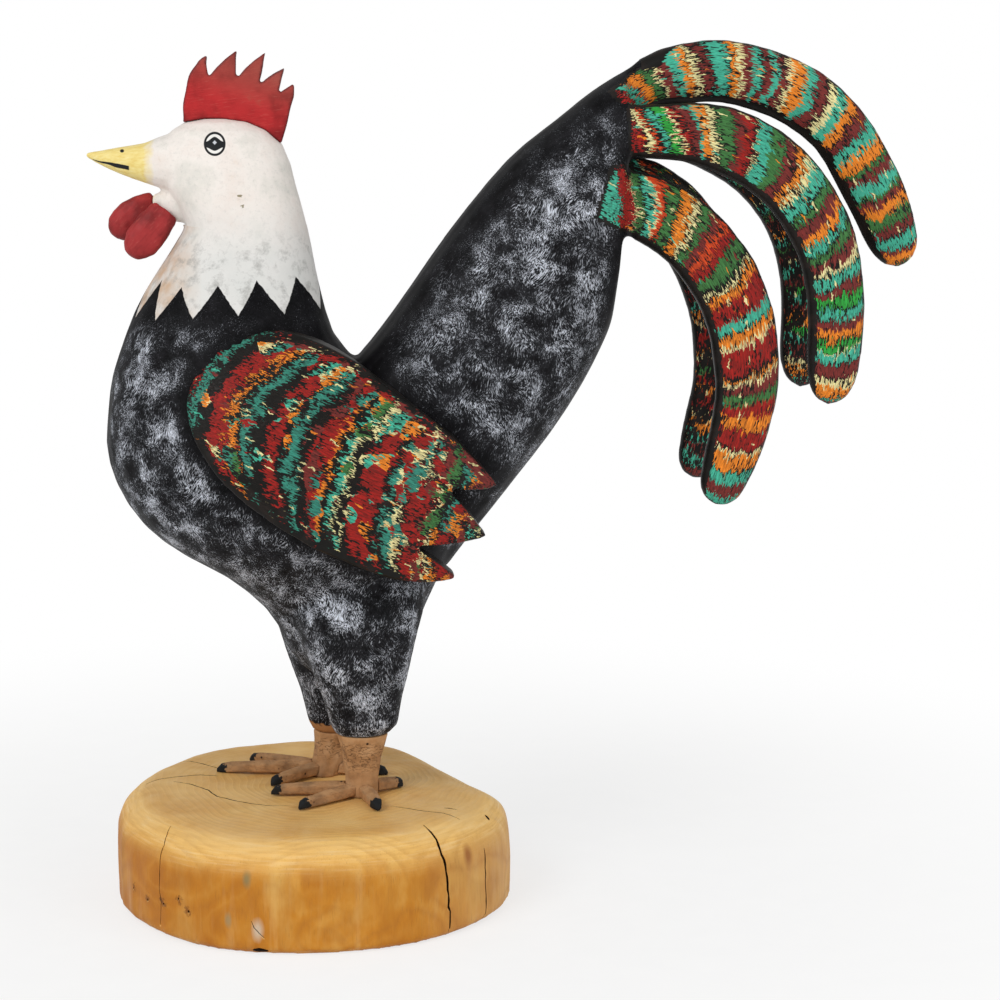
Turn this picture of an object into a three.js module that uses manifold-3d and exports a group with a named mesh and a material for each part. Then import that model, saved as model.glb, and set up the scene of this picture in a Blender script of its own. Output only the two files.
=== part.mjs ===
// A painted, carved wooden rooster standing on a slice of log.
// Millimetres, +Z up. The rooster faces -X, its left side is -Y, and the log's underside is z = 0.
import * as THREE from 'three';
import { mergeVertices } from 'three/addons/utils/BufferGeometryUtils.js';
import Module from 'manifold-3d';

const wasm = await Module();
wasm.setup();

// Gap left between pieces that touch.
const CLEARANCE = 0.3;

// Log slice.
const BASE_RADIUS = 121;
const BASE_HEIGHT = 66;
const BASE_ROUNDING = 24;
const BASE_EDGE = 3.5;
const SHOULDER_STEPS = 7;
const FACET_DISTANCE = 85;
const FACET_SLOPE = 34;

// Outline of the log over BASE_RADIUS, every 30 degrees from +X towards +Y.
const LOG_OUTLINE = [1.008, 1, 1, 1.005, 1.045, 1.02, 1.013, 1.03, 1.06, 1.045, 1.06, 1.055];

// Legs and feet.
const SHANK_HEIGHT = 34;
const SHANK_TOP_RADIUS = 16.5;
const SHANK_FOOT_RADIUS = 10.5;
const LEG_SPREAD = 52;
const THIGH_LEAD = 13.5;
const LEFT_THIGH_LIFT = 6.5;
const RIGHT_THIGH_DROP = 4.5;
const FOOT_LEAD = 23;
const TOE_WIDTH = 9.5;
const TOE_HEIGHT = 8.5;

// Figure.
const BODY_HALF_WIDTH = 80;
const TAIL_HALF_WIDTH = 56;
const NECK_JOINT = 316;
const COMB_THICKNESS = 12;
const WATTLE_THICKNESS = 15;
const WATTLE_HALF_WIDTH = 11.2;
const WING_PROUD = 16;
const WING_THICKNESS = 17;
const WING_INNER = 25;
const WING_BOW_X = 165;
const WING_BOW_Z = 131;
const WING_Z = 155;
const RIGHT_WING_DROP = 14;
const FEATHER_THICKNESS = 21;
const LOW_RIGHT_LIFT = 8.5;
const RIGHT_SET_BACK = 1.5;

// Diameters of the hidden pegs.
const LEG_PEG = 9;
const NECK_PEG = 16;
const TAIL_PEG = 14;
const FEATHER_PEG = 8;
const WING_PEG = 8;
const COMB_PEG = 5;
const WATTLE_PEG = 4;

// How far the pegs reach on each side of their joint.
const LEG_PEG_IN_BASE = 30;
const LEG_PEG_IN_THIGH = 40;
const NECK_PEG_REACH = 31;
const TAIL_PEG_REACH = 30;
const FEATHER_PEG_REACH = 23;
const WING_PEG_IN_BODY = 28;

// Places of the two tail pegs along the tail joint, from its upper end.
const TAIL_PEG_UPPER = 43;
const TAIL_PEG_LOWER = 87.6;

// The figure is drawn from this height, which lies between the lower ends of its thighs.
const FIGURE_Z = BASE_HEIGHT + SHANK_HEIGHT;
const LEG_Y = LEG_SPREAD / 2;
const LEG_X = 29;

// Head, neck and torso: height, front x, back x, half width over BODY_HALF_WIDTH.
const TORSO = [
  [35, 12, 34, 0.1],
  [38, 2, 46, 0.25],
  [45, -7, 56, 0.37],
  [57, -16, 61, 0.45],
  [70, -21, 66, 0.5],
  [82, -29.5, 71, 0.55],
  [93, -41.5, 76, 0.61],
  [103, -54.8, 80.5, 0.68],
  [117, -78.5, 88.5, 0.79],
  [136, -102, 96.5, 0.91],
  [161, -117, 94, 0.99],
  [186, -122.3, 77, 1],
  [217, -119.8, 47, 0.91],
  [250, -110.5, 15.5, 0.74],
  [277, -96.8, 8, 0.59],
  [301, -82, 3, 0.475],
  [316, -72.5, -0.5, 0.42],
  [328, -78, -3.5, 0.4],
  [340, -85, -6.5, 0.385],
  [352, -87, -9, 0.36],
  [364, -85.5, -14, 0.315],
  [372, -80, -23, 0.25],
  [377, -72, -34, 0.17],
  [379, -62, -46, 0.08],
];

// Beak and the post under the chin: x, top, underside, half width.
const BEAK = [
  [-130.5, 359, 356.8, 1.4],
  [-124, 360, 352.8, 4],
  [-111.5, 362.4, 346.5, 8.5],
  [-95.5, 365, 340.5, 14],
  [-80, 371, 336, 20],
  [-64, 372, 334, 22],
];
const CHIN_POST = [
  [-92, 334, 326, 5],
  [-86, 337, 319.5, 8.5],
  [-76, 338, 317.2, 10],
  [-64, 337, 317.2, 10],
];

// Tail block: station, upper x and height, lower x and height, half width over TAIL_HALF_WIDTH.
const TAIL = [
  [0, -4, 206, 84, 106, 0.8],
  [1, 28, 233.5, 115, 147, 1],
  [2, 53.6, 265.3, 147, 187.5, 1],
  [3, 85.5, 310.5, 176.5, 235, 0.96],
  [4, 121.8, 353.3, 194, 277, 0.88],
  [5, 154, 380.5, 198, 300, 0.78],
  [6, 189, 406, 199, 306, 0.68],
  [7, 213, 418, 207, 322, 0.62],
];
const TAIL_JOINT = { x: 25, z: 238, nx: 0.719, nz: 0.695 };
const TAIL_END = { x: 190.5, z: 355, nx: 0.9985, nz: -0.055 };

// Thigh: height, front x, back x, distance from LEG_Y, half width.
const THIGH = [
  [0, 13.5, 46.5, 0, 14.5],
  [6, 10, 52, 0, 18],
  [26, 5, 54.8, 0.5, 22],
  [50, -3.5, 60.5, 1, 26],
  [80, -13, 68, 1, 29],
  [110, -10, 70.5, -2, 28],
];

// Tail feathers: x, distance from the middle plane, height, half width.
const FEATHER_TOP = [
  [172, 0, 375, 12],
  [187, 0, 387, 12.5],
  [205, 0, 399.5, 15],
  [230, 0, 406, 18.2],
  [253, 0, 407, 19],
  [277.6, 0, 401.8, 19],
  [302.2, 0, 391, 19.2],
  [323.6, 0, 373.5, 18.4],
  [339.3, 0, 350.6, 18.7],
  [350.8, 0, 328.5, 18.2],
  [360.2, 0, 306.5, 16],
  [366.5, 0, 287.5, 1.5],
];
const FEATHER_MID = [
  [176, 22, 370, 15.5],
  [195, 22.5, 371, 16],
  [214, 25, 371.5, 16.5],
  [235, 28, 370.2, 18.5],
  [258.8, 32, 362.5, 20],
  [282, 36, 347.2, 19.8],
  [299, 39, 326.6, 19],
  [309.6, 41, 305, 18.4],
  [315, 42.5, 280, 17.5],
  [316, 43.5, 255, 17],
  [314.5, 44, 229, 15.8],
  [312, 44, 207.5, 1.5],
];
const FEATHER_LOW = [
  [170, 21.5, 337, 18],
  [188, 22, 331, 19],
  [206.5, 25, 325, 20.5],
  [222, 29, 315.5, 20.8],
  [237.2, 34, 301, 21],
  [249.4, 39, 282.6, 21],
  [258.4, 40, 260, 20.6],
  [262.2, 42, 235, 20],
  [261.5, 44, 210, 18.8],
  [255.5, 45.5, 186, 17],
  [248.5, 46.5, 164, 14.5],
  [243.5, 47, 147.5, 1.5],
];

// Value of each column of a table where its first column is s, smooth and without overshoot.
function rowAt(table, s) {
  const last = table.length - 1;
  const t = Math.min(Math.max(s, table[0][0]), table[last][0]);
  let i = 0;
  while (i < last - 1 && t > table[i + 1][0]) i += 1;
  const rise = (j, k) => (table[j + 1][k] - table[j][k]) / (table[j + 1][0] - table[j][0]);
  const slope = (j, k) => {
    if (j === 0) return rise(0, k);
    if (j === last) return rise(last - 1, k);
    const before = rise(j - 1, k);
    const after = rise(j, k);
    return before * after > 0 ? (2 * before * after) / (before + after) : 0;
  };
  const span = table[i + 1][0] - table[i][0];
  const f = (t - table[i][0]) / span;
  const g = 1 - f;
  return table[i].map((a, k) => {
    if (k === 0) return t;
    const b = table[i + 1][k];
    const bend = f * g * span * (g * slope(i, k) - f * slope(i + 1, k));
    return a * g * g * (1 + 2 * f) + b * f * f * (1 + 2 * g) + bend;
  });
}

// Stations of a table with extra ones wherever two lie further apart than step.
function stations(table, step) {
  const list = [table[0][0]];
  for (let i = 1; i < table.length; i += 1) {
    const from = table[i - 1][0];
    const parts = Math.max(1, Math.round((table[i][0] - from) / step));
    for (let k = 1; k <= parts; k += 1) list.push(from + ((table[i][0] - from) * k) / parts);
  }
  return list;
}

// Points of a rounded section; place turns its two unit coordinates into a point in space.
function oval(sides, power, place) {
  const bent = (v) => Math.sign(v) * Math.abs(v) ** (2 / power);
  return Array.from({ length: sides }, (_, i) => {
    const angle = (2 * Math.PI * (i + 0.5)) / sides;
    return place(bent(Math.cos(angle)), bent(Math.sin(angle)));
  });
}

// Closed surface over a row of rings, with a flat fan at each end.
function skin(rings) {
  const sides = rings[0].length;
  const points = rings.flat();
  const faces = [];
  for (let r = 0; r + 1 < rings.length; r += 1) {
    for (let i = 0; i < sides; i += 1) {
      const a = r * sides + i;
      const b = r * sides + ((i + 1) % sides);
      faces.push(a, b, b + sides, a, b + sides, a + sides);
    }
  }
  for (const [ring, flip] of [[0, true], [rings.length - 1, false]]) {
    const hub = points.length;
    const middle = new THREE.Vector3();
    rings[ring].forEach((p) => middle.addScaledVector(p, 1 / sides));
    points.push(middle);
    for (let i = 0; i < sides; i += 1) {
      const a = ring * sides + i;
      const b = ring * sides + ((i + 1) % sides);
      if (flip) faces.push(hub, b, a);
      else faces.push(hub, a, b);
    }
  }
  let volume = 0;
  for (let i = 0; i < faces.length; i += 3) {
    const side = points[faces[i + 1]].clone().cross(points[faces[i + 2]]);
    volume += points[faces[i]].dot(side);
  }
  if (volume < 0) faces.reverse();
  const geometry = new THREE.BufferGeometry();
  geometry.setAttribute('position', new THREE.Float32BufferAttribute(points.flatMap((p) => p.toArray()), 3));
  geometry.setIndex(faces);
  return geometry;
}

// Solid for joining and cutting.
function solid(geometry) {
  const bare = geometry.clone();
  bare.deleteAttribute('normal');
  bare.deleteAttribute('uv');
  const welded = mergeVertices(bare, 1e-4);
  return new wasm.Manifold(new wasm.Mesh({
    numProp: 3,
    vertProperties: new Float32Array(welded.attributes.position.array),
    triVerts: new Uint32Array(welded.index.array),
  }));
}

function joined(list) {
  return list.slice(1).reduce((sum, item) => sum.add(item), list[0]);
}

// Round rod from one point to another.
function rod(from, to, radius) {
  const a = new THREE.Vector3(...from);
  const b = new THREE.Vector3(...to);
  const way = b.clone().sub(a);
  const geometry = new THREE.CylinderGeometry(radius, radius, way.length(), 12);
  geometry.applyQuaternion(new THREE.Quaternion().setFromUnitVectors(
    new THREE.Vector3(0, 1, 0),
    way.normalize(),
  ));
  geometry.translate(...a.add(b).multiplyScalar(0.5).toArray());
  return geometry;
}

function pegSolid(peg) {
  return solid(rod(peg.from, peg.to, peg.size / 2));
}

// Hole for a peg, wider and deeper than the peg by the clearance.
function pegHole(peg) {
  const a = new THREE.Vector3(...peg.from);
  const b = new THREE.Vector3(...peg.to);
  const extra = b.clone().sub(a).setLength(CLEARANCE);
  return solid(rod(a.sub(extra).toArray(), b.add(extra).toArray(), peg.size / 2 + CLEARANCE));
}

function drilled(item, pegs) {
  return pegs.reduce((rest, peg) => rest.subtract(pegHole(peg)), item);
}

// Keeps what lies beyond a plane that stands upright to the middle plane.
function beyond(item, plane, shift) {
  const offset = plane.nx * plane.x + plane.nz * plane.z + shift;
  return item.trimByPlane([plane.nx, 0, plane.nz], offset);
}

function before(item, plane, shift) {
  const offset = plane.nx * plane.x + plane.nz * plane.z - shift;
  return item.trimByPlane([-plane.nx, 0, -plane.nz], -offset);
}

function torso(grow) {
  const rings = stations(TORSO, 12).map((z) => {
    const [, front, back, part] = rowAt(TORSO, z);
    const reach = (back - front) / 2 + grow;
    const width = part * BODY_HALF_WIDTH + grow;
    return oval(32, 2.25, (c, s) => new THREE.Vector3((front + back) / 2 + reach * c, width * s, z));
  });
  return solid(skin(rings));
}

// Half width of the torso at a place on its side.
function torsoHalfWidth(x, z) {
  const [, front, back, part] = rowAt(TORSO, z);
  const across = Math.abs(2 * x - front - back) / (back - front);
  return part * BODY_HALF_WIDTH * (1 - across ** 2.25) ** (1 / 2.25);
}

function lengthwise(table, grow, step, sides) {
  const rings = stations(table, step).map((x) => {
    const [, top, under, width] = rowAt(table, x);
    const deep = (top - under) / 2 + grow;
    const middle = (top + under) / 2;
    return oval(sides, 2.2, (c, s) => new THREE.Vector3(x, (width + grow) * c, middle + deep * s));
  });
  return solid(skin(rings));
}

function tailBlock(grow) {
  const rings = stations(TAIL, 0.34).map((station) => {
    const [, ux, uz, lx, lz, part] = rowAt(TAIL, station);
    const half = new THREE.Vector3(ux - lx, 0, uz - lz).multiplyScalar(0.5);
    half.setLength(half.length() + grow);
    const width = part * TAIL_HALF_WIDTH + grow;
    const middle = new THREE.Vector3((ux + lx) / 2, 0, (uz + lz) / 2);
    return oval(26, 2.4, (c, s) => middle.clone().addScaledVector(half, c).setY(width * s));
  });
  return solid(skin(rings));
}

// Height of a thigh's lower end: side is -1 for the left one, which ends higher, and 1 for the right one.
function thighEnd(side) {
  return side < 0 ? LEFT_THIGH_LIFT : -RIGHT_THIGH_DROP;
}

// The right thigh stands further forward.
function thigh(side) {
  const lead = side > 0 ? THIGH_LEAD : 0;
  const top = THIGH.at(-1)[0];
  const rings = stations(THIGH, 22).map((z) => {
    const [, front, back, off, width] = rowAt(THIGH, z);
    const reach = (back - front) / 2;
    const middle = (front + back) / 2 - lead;
    return oval(16, 2.2, (c, s) => new THREE.Vector3(
      middle + reach * c,
      side * (LEG_Y + off) + width * s,
      thighEnd(side) + z * (1 - thighEnd(side) / top),
    ));
  });
  return solid(skin(rings));
}

function legTop(side) {
  return [LEG_X + 1 - (side > 0 ? THIGH_LEAD : 0), side * LEG_Y];
}

function legFoot(side) {
  return [LEG_X - (side > 0 ? FOOT_LEAD : 0), side * (LEG_Y - (side > 0 ? 4 : 0))];
}

// Point on a leg's axis at a height.
function legAxis(side, z) {
  const f = (thighEnd(side) - z) / (thighEnd(side) + SHANK_HEIGHT);
  const top = legTop(side);
  const foot = legFoot(side);
  return [top[0] + (foot[0] - top[0]) * f, top[1] + (foot[1] - top[1]) * f, z];
}

function shank(side, grow) {
  const low = -SHANK_HEIGHT + CLEARANCE - grow;
  const high = thighEnd(side) - CLEARANCE + grow;
  const levels = [[0, 0], [0.3, 0.02], [0.6, 0.25], [0.82, 0.62], [1, 1]];
  const rings = levels.map(([f, flare]) => {
    const z = low + (high - low) * f;
    const [x, y] = legAxis(side, z);
    const radius = SHANK_FOOT_RADIUS + (SHANK_TOP_RADIUS - SHANK_FOOT_RADIUS) * flare + grow;
    return oval(9, 2, (c, s) => new THREE.Vector3(x + radius * c, y + 0.9 * radius * s, z));
  });
  return solid(skin(rings));
}

// Whittled stick from the middle of the foot to the claw's tip, lying on the log.
function toe(side, tip, grow) {
  const floor = -SHANK_HEIGHT + CLEARANCE - grow;
  const [fx, fy] = legFoot(side);
  const way = new THREE.Vector3(tip[0] - fx, tip[1] - fy, 0);
  const across = new THREE.Vector3(-way.y, way.x, 0).normalize();
  const rings = [[0.1, 1, 1.1], [0.55, 0.95, 1], [0.86, 0.8, 0.85], [0.95, 0.6, 0.7], [1, 0.2, 0.3]];
  return solid(skin(rings.map(([f, wide, tall]) => {
    const middle = new THREE.Vector3(fx, fy, floor).addScaledVector(way, f);
    const half = (tall * TOE_HEIGHT) / 2 + grow;
    return oval(6, 3, (c, s) => middle.clone()
      .addScaledVector(across, ((wide * TOE_WIDTH) / 2 + grow) * c)
      .setZ(floor + half + half * s));
  })));
}

// side is -1 for left, 1 for right and 0 for the single feather in the middle.
// The right ones sit further back, and the root of the right low one also higher.
function featherPath(table, side) {
  const lift = table === FEATHER_LOW && side > 0 ? LOW_RIGHT_LIFT : 0;
  const back = side > 0 ? RIGHT_SET_BACK : 0;
  return new THREE.CatmullRomCurve3(table.map(([x, y, z], i) => {
    const fade = Math.min(1, Math.max(0.2, (9 - i) / 6));
    return new THREE.Vector3(x + back, side * y, z + lift * fade);
  }));
}

function feather(table, side, grow) {
  const path = featherPath(table, side);
  const widths = table.map((row, i) => [i / (table.length - 1), row[3]]);
  const places = stations(widths, 1 / 24).filter((t) => t < 0.9);
  const rings = [...places, 0.93, 0.96, 0.982, 1].map((t) => {
    const middle = path.getPoint(t);
    const along = path.getTangent(t);
    const wide = new THREE.Vector3(-along.z, 0, along.x).normalize();
    const thick = along.clone().cross(wide).normalize();
    const end = Math.sqrt(Math.max(0.006, 1 - (Math.max(0, t - 0.9) / 0.1) ** 2));
    const width = t < 0.9 ? rowAt(widths, t)[1] : rowAt(widths, 0.9)[1] * end;
    const depth = (FEATHER_THICKNESS / 2) * (1 - 0.25 * t) * end ** 0.8;
    return oval(16, 2.5, (c, s) => middle.clone()
      .addScaledVector(wide, (width + grow) * c)
      .addScaledVector(thick, (depth + grow) * s));
  });
  return beyond(solid(skin(rings)), TAIL_END, CLEARANCE - grow);
}

// Board cut to an outline in x and height, running to -Y from one distance to another.
function board(shape, near, far) {
  const depth = far - near;
  const geometry = new THREE.ExtrudeGeometry(shape, { depth, bevelEnabled: false, curveSegments: 3 });
  geometry.rotateX(Math.PI / 2);
  geometry.translate(0, -near, 0);
  return solid(geometry);
}

function combShape() {
  const shape = new THREE.Shape();
  shape.moveTo(-73, 377.3);
  shape.splineThru([[-71.7, 391.5], [-68.4, 404], [-64, 411]].map((p) => new THREE.Vector2(...p)));
  // Each tooth: tip x, tip height, notch x, notch height.
  const teeth = [
    [-57.8, 416.5, -57, 403.4],
    [-40.1, 419.5, -40.6, 402.8],
    [-23, 418.3, -27.4, 398.8],
    [-12.3, 408.7, -15.8, 394],
  ];
  let from = new THREE.Vector2(-64, 411);
  for (const [tx, tz, nx, nz] of teeth) {
    shape.quadraticCurveTo((from.x + tx) / 2 - 2, (from.y + tz) / 2 + 0.6, tx, tz);
    shape.quadraticCurveTo(tx - 1.5, tz - 5, nx, nz);
    from = new THREE.Vector2(nx, nz);
  }
  shape.lineTo(-6.6, 399.8);
  for (const [x, z] of [[-6.8, 392], [-10.6, 378], [-14.5, 365], [-23, 358], [-42, 365], [-66, 367]]) {
    shape.lineTo(x, z);
  }
  return shape;
}

function wingShape() {
  const shape = new THREE.Shape();
  const through = (list) => shape.splineThru(list.map((p) => new THREE.Vector2(...p)));
  shape.moveTo(110, 166);
  through([[84, 195], [50, 222], [20, 244], [-14, 257], [-45, 252], [-65, 235], [-71, 217], [-66, 195],
    [-50, 172], [-22, 149], [12, 129], [42, 116], [64, 111], [84.5, 112]]);
  shape.quadraticCurveTo(73, 124, 58, 134);
  shape.quadraticCurveTo(82, 132, 103, 136);
  shape.quadraticCurveTo(92, 152, 79, 167);
  shape.quadraticCurveTo(96, 163, 110, 166);
  return shape;
}

// Solid ellipsoid whose surface is the wing's face; inset gives the back of the wing.
function wingDome(inset) {
  const geometry = new THREE.SphereGeometry(1, 22, 22);
  geometry.scale(WING_BOW_X - inset, BODY_HALF_WIDTH + WING_PROUD - inset, WING_BOW_Z - inset);
  geometry.translate(0, 0, WING_Z);
  return solid(geometry);
}

// drop is how far the wing sits below the place of the left one. The wing is drawn on the left side.
function wing(drop) {
  const slab = board(wingShape(), WING_INNER, 1.2 * (BODY_HALF_WIDTH + WING_PROUD));
  return slab
    .intersect(wingDome(0))
    .subtract(wingDome(WING_THICKNESS))
    .translate([0, 0, -drop])
    .subtract(torso(CLEARANCE))
    .subtract(tailBlock(CLEARANCE));
}

// side is -1 for the left lobe. Each lobe hangs from the post along its own line.
function wattle(side) {
  const from = side < 0 ? [-83.5, 325.2] : [-89.9, 329.1];
  const to = side < 0 ? [-105.6, 298] : [-117.9, 310.8];
  const way = new THREE.Vector3(to[0] - from[0], 0, to[1] - from[1]);
  const across = new THREE.Vector3(-way.z, 0, way.x).normalize();
  const profile = [[0, 0.68, 0.5], [0.1, 0.84, 0.72], [0.3, 0.96, 0.94], [0.52, 1, 1], [0.72, 0.94, 0.96],
    [0.87, 0.74, 0.8], [0.96, 0.43, 0.52], [1, 0.12, 0.15]];
  const half = (WATTLE_THICKNESS / 2) - CLEARANCE / 2;
  const lobe = solid(skin(profile.map(([f, wide, thick]) => {
    const middle = new THREE.Vector3(from[0], 0, from[1]).addScaledVector(way, f);
    return oval(14, 2.2, (c, s) => middle.clone()
      .addScaledVector(across, WATTLE_HALF_WIDTH * wide * c)
      .setY(side * (WATTLE_THICKNESS / 2) + half * thick * s));
  })));
  return lobe
    .subtract(torso(CLEARANCE))
    .subtract(lengthwise(BEAK, CLEARANCE, 8, 16))
    .subtract(lengthwise(CHIN_POST, CLEARANCE, 8, 12));
}

// Share of BASE_RADIUS in a direction, smooth between the listed ones.
function logShare(angle) {
  const turn = ((angle / (2 * Math.PI) + 1) % 1) * LOG_OUTLINE.length;
  const i = Math.floor(turn);
  const ease = (1 - Math.cos(Math.PI * (turn - i))) / 2;
  const next = LOG_OUTLINE[(i + 1) % LOG_OUTLINE.length];
  return LOG_OUTLINE[i % LOG_OUTLINE.length] * (1 - ease) + next * ease;
}

function logSlice() {
  const profile = [[0, 0], [BASE_RADIUS - BASE_EDGE, 0], [BASE_RADIUS, BASE_EDGE]];
  for (let i = 0; i <= SHOULDER_STEPS; i += 1) {
    const angle = (Math.PI / 2) * (i / SHOULDER_STEPS);
    profile.push([
      BASE_RADIUS - BASE_ROUNDING * (1 - Math.cos(angle)),
      BASE_HEIGHT - BASE_ROUNDING * (1 - Math.sin(angle)),
    ]);
  }
  profile.push([0, BASE_HEIGHT]);
  const geometry = new THREE.LatheGeometry(profile.map((p) => new THREE.Vector2(...p)), 40);
  geometry.rotateX(Math.PI / 2);
  const spot = geometry.attributes.position;
  for (let i = 0; i < spot.count; i += 1) {
    const share = logShare(Math.atan2(spot.getY(i), spot.getX(i)));
    spot.setXYZ(i, spot.getX(i) * share, spot.getY(i) * share, spot.getZ(i));
  }
  const slope = THREE.MathUtils.degToRad(FACET_SLOPE);
  const out = new THREE.Vector3(0.907 * Math.sin(slope), 0.421 * Math.sin(slope), Math.cos(slope));
  const offset = FACET_DISTANCE * Math.sin(slope) + BASE_HEIGHT * Math.cos(slope);
  return solid(geometry).trimByPlane([-out.x, -out.y, -out.z], -offset).translate([0, 0, -FIGURE_Z]);
}

// A peg along the root of a feather, half of it on each side of the tail block's end.
function featherPeg(table, side) {
  const path = featherPath(table, side);
  const inTail = ({ x, z }) => TAIL_END.nx * (x - TAIL_END.x) + TAIL_END.nz * (z - TAIL_END.z) < 0;
  let t = 0;
  while (t < 0.9 && inTail(path.getPoint(t))) t += 0.002;
  const middle = path.getPoint(t);
  const way = path.getTangent(t);
  return {
    from: middle.clone().addScaledVector(way, -FEATHER_PEG_REACH).toArray(),
    to: middle.clone().addScaledVector(way, FEATHER_PEG_REACH).toArray(),
    size: FEATHER_PEG,
  };
}

// x and drawnZ are the peg's place in the wing as it is drawn.
function wingPeg(side, x, drawnZ) {
  const z = drawnZ - (side > 0 ? RIGHT_WING_DROP : 0);
  const skinY = torsoHalfWidth(x, z);
  const off = (x / WING_BOW_X) ** 2 + ((drawnZ - WING_Z) / WING_BOW_Z) ** 2;
  const faceY = (BODY_HALF_WIDTH + WING_PROUD) * Math.sqrt(1 - off);
  return {
    from: [x, side * (skinY - WING_PEG_IN_BODY), z],
    to: [x, side * (skinY + 0.55 * (faceY - skinY)), z],
    size: WING_PEG,
  };
}

function tailPeg(along) {
  const { nx, nz } = TAIL_JOINT;
  const x = TAIL_JOINT.x + along * nz;
  const z = TAIL_JOINT.z - along * nx;
  const reach = TAIL_PEG_REACH;
  return {
    from: [x - reach * nx, 0, z - reach * nz],
    to: [x + reach * nx, 0, z + reach * nz],
    size: TAIL_PEG,
  };
}

function legPeg(side) {
  return {
    from: legAxis(side, -SHANK_HEIGHT - LEG_PEG_IN_BASE),
    to: legAxis(side, thighEnd(side) + LEG_PEG_IN_THIGH),
    size: LEG_PEG,
  };
}

const legPegs = { left: legPeg(-1), right: legPeg(1) };
const neckPeg = {
  from: [-38, 0, NECK_JOINT - NECK_PEG_REACH],
  to: [-38, 0, NECK_JOINT + NECK_PEG_REACH],
  size: NECK_PEG,
};
const tailPegs = { upper: tailPeg(TAIL_PEG_UPPER), lower: tailPeg(TAIL_PEG_LOWER) };
const combPegs = {
  front: { from: [-58, 0, 362], to: [-58, 0, 391], size: COMB_PEG },
  rear: { from: [-28, 0, 357], to: [-28, 0, 387], size: COMB_PEG },
};
const wattlePegs = {
  left: { from: [-95, -4, 314.5], to: [-78, -4, 325], size: WATTLE_PEG },
  right: { from: [-103, 4, 321.5], to: [-80, 4, 329], size: WATTLE_PEG },
};
const wingPegs = {
  left_front: wingPeg(-1, -42, 205),
  left_rear: wingPeg(-1, -4, 172),
  right_front: wingPeg(1, -42, 205),
  right_rear: wingPeg(1, -4, 172),
};
const featherPegs = {
  top: featherPeg(FEATHER_TOP, 0),
  mid_left: featherPeg(FEATHER_MID, -1),
  mid_right: featherPeg(FEATHER_MID, 1),
  low_left: featherPeg(FEATHER_LOW, -1),
  low_right: featherPeg(FEATHER_LOW, 1),
};

const toeTips = {
  left: { middle: [-27, -22], outer: [-10, -56], inner: [38, -63], rear: [55, -11] },
  right: { middle: [-62, 31], outer: [-41, 55], inner: [-27, -4], rear: [47, 15] },
};

const paint = {
  log: ['#c99a58', 0.6],
  charcoal: ['#3a3b3f', 0.62],
  white: ['#e3ddd4', 0.6],
  red: ['#a62d30', 0.5],
  bands: ['#7a4a3a', 0.55],
  brown: ['#9c7156', 0.65],
  wood: ['#c9a676', 0.7],
};

const rooster = new THREE.Group();

function place(name, item, kind) {
  const mesh = item.getMesh();
  const geometry = new THREE.BufferGeometry();
  geometry.setAttribute('position', new THREE.Float32BufferAttribute(mesh.vertProperties, 3));
  geometry.setIndex(Array.from(mesh.triVerts));
  geometry.translate(0, 0, FIGURE_Z);
  geometry.computeVertexNormals();
  const [color, roughness] = paint[kind];
  const part = new THREE.Mesh(geometry, new THREE.MeshStandardMaterial({ color, roughness, metalness: 0 }));
  part.name = name;
  rooster.add(part);
}

const neckPlane = { x: 0, z: NECK_JOINT, nx: 0, nz: 1 };
const bulk = joined([torso(0), thigh(-1), thigh(1), before(tailBlock(0), TAIL_JOINT, CLEARANCE / 2)])
  .subtract(beyond(tailBlock(CLEARANCE), TAIL_JOINT, -CLEARANCE / 2));
place('base', drilled(logSlice(), Object.values(legPegs)), 'log');
place('body', drilled(before(bulk, neckPlane, CLEARANCE / 2), [
  ...Object.values(legPegs),
  ...Object.values(tailPegs),
  ...Object.values(wingPegs),
  neckPeg,
]), 'charcoal');

const skull = joined([
  beyond(torso(0), neckPlane, CLEARANCE / 2),
  lengthwise(BEAK, 0, 8, 16),
  lengthwise(CHIN_POST, 0, 8, 12),
]);
place('head', drilled(skull, [neckPeg, ...Object.values(combPegs), ...Object.values(wattlePegs)]), 'white');
place('comb', drilled(
  board(combShape(), -COMB_THICKNESS / 2, COMB_THICKNESS / 2).subtract(torso(CLEARANCE)),
  Object.values(combPegs),
), 'red');
place('wattle_left', drilled(wattle(-1), [wattlePegs.left]), 'red');
place('wattle_right', drilled(wattle(1), [wattlePegs.right]), 'red');

const tail = before(beyond(tailBlock(0), TAIL_JOINT, CLEARANCE / 2), TAIL_END, 0);
place('tail_block', drilled(tail, [...Object.values(tailPegs), ...Object.values(featherPegs)]), 'charcoal');
const rightWing = wing(RIGHT_WING_DROP).mirror([0, 1, 0]);
place('wing_left', drilled(wing(0), [wingPegs.left_front, wingPegs.left_rear]), 'bands');
place('wing_right', drilled(rightWing, [wingPegs.right_front, wingPegs.right_rear]), 'bands');

place('tail_feather_top', drilled(feather(FEATHER_TOP, 0, 0), [featherPegs.top]), 'bands');
for (const [name, side] of [['left', -1], ['right', 1]]) {
  const middle = drilled(feather(FEATHER_MID, side, 0), [featherPegs[`mid_${name}`]]);
  const low = feather(FEATHER_LOW, side, 0).subtract(feather(FEATHER_MID, side, CLEARANCE));
  place(`tail_feather_mid_${name}`, middle, 'bands');
  place(`tail_feather_low_${name}`, drilled(low, [featherPegs[`low_${name}`]]), 'bands');
}

for (const [name, side] of [['left', -1], ['right', 1]]) {
  place(`shank_${name}`, drilled(shank(side, 0), [legPegs[name]]), 'brown');
  let taken = shank(side, CLEARANCE);
  for (const [which, tip] of Object.entries(toeTips[name])) {
    place(`toe_${name}_${which}`, toe(side, tip, 0).subtract(taken), 'brown');
    taken = taken.add(toe(side, tip, CLEARANCE));
  }
}

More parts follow.
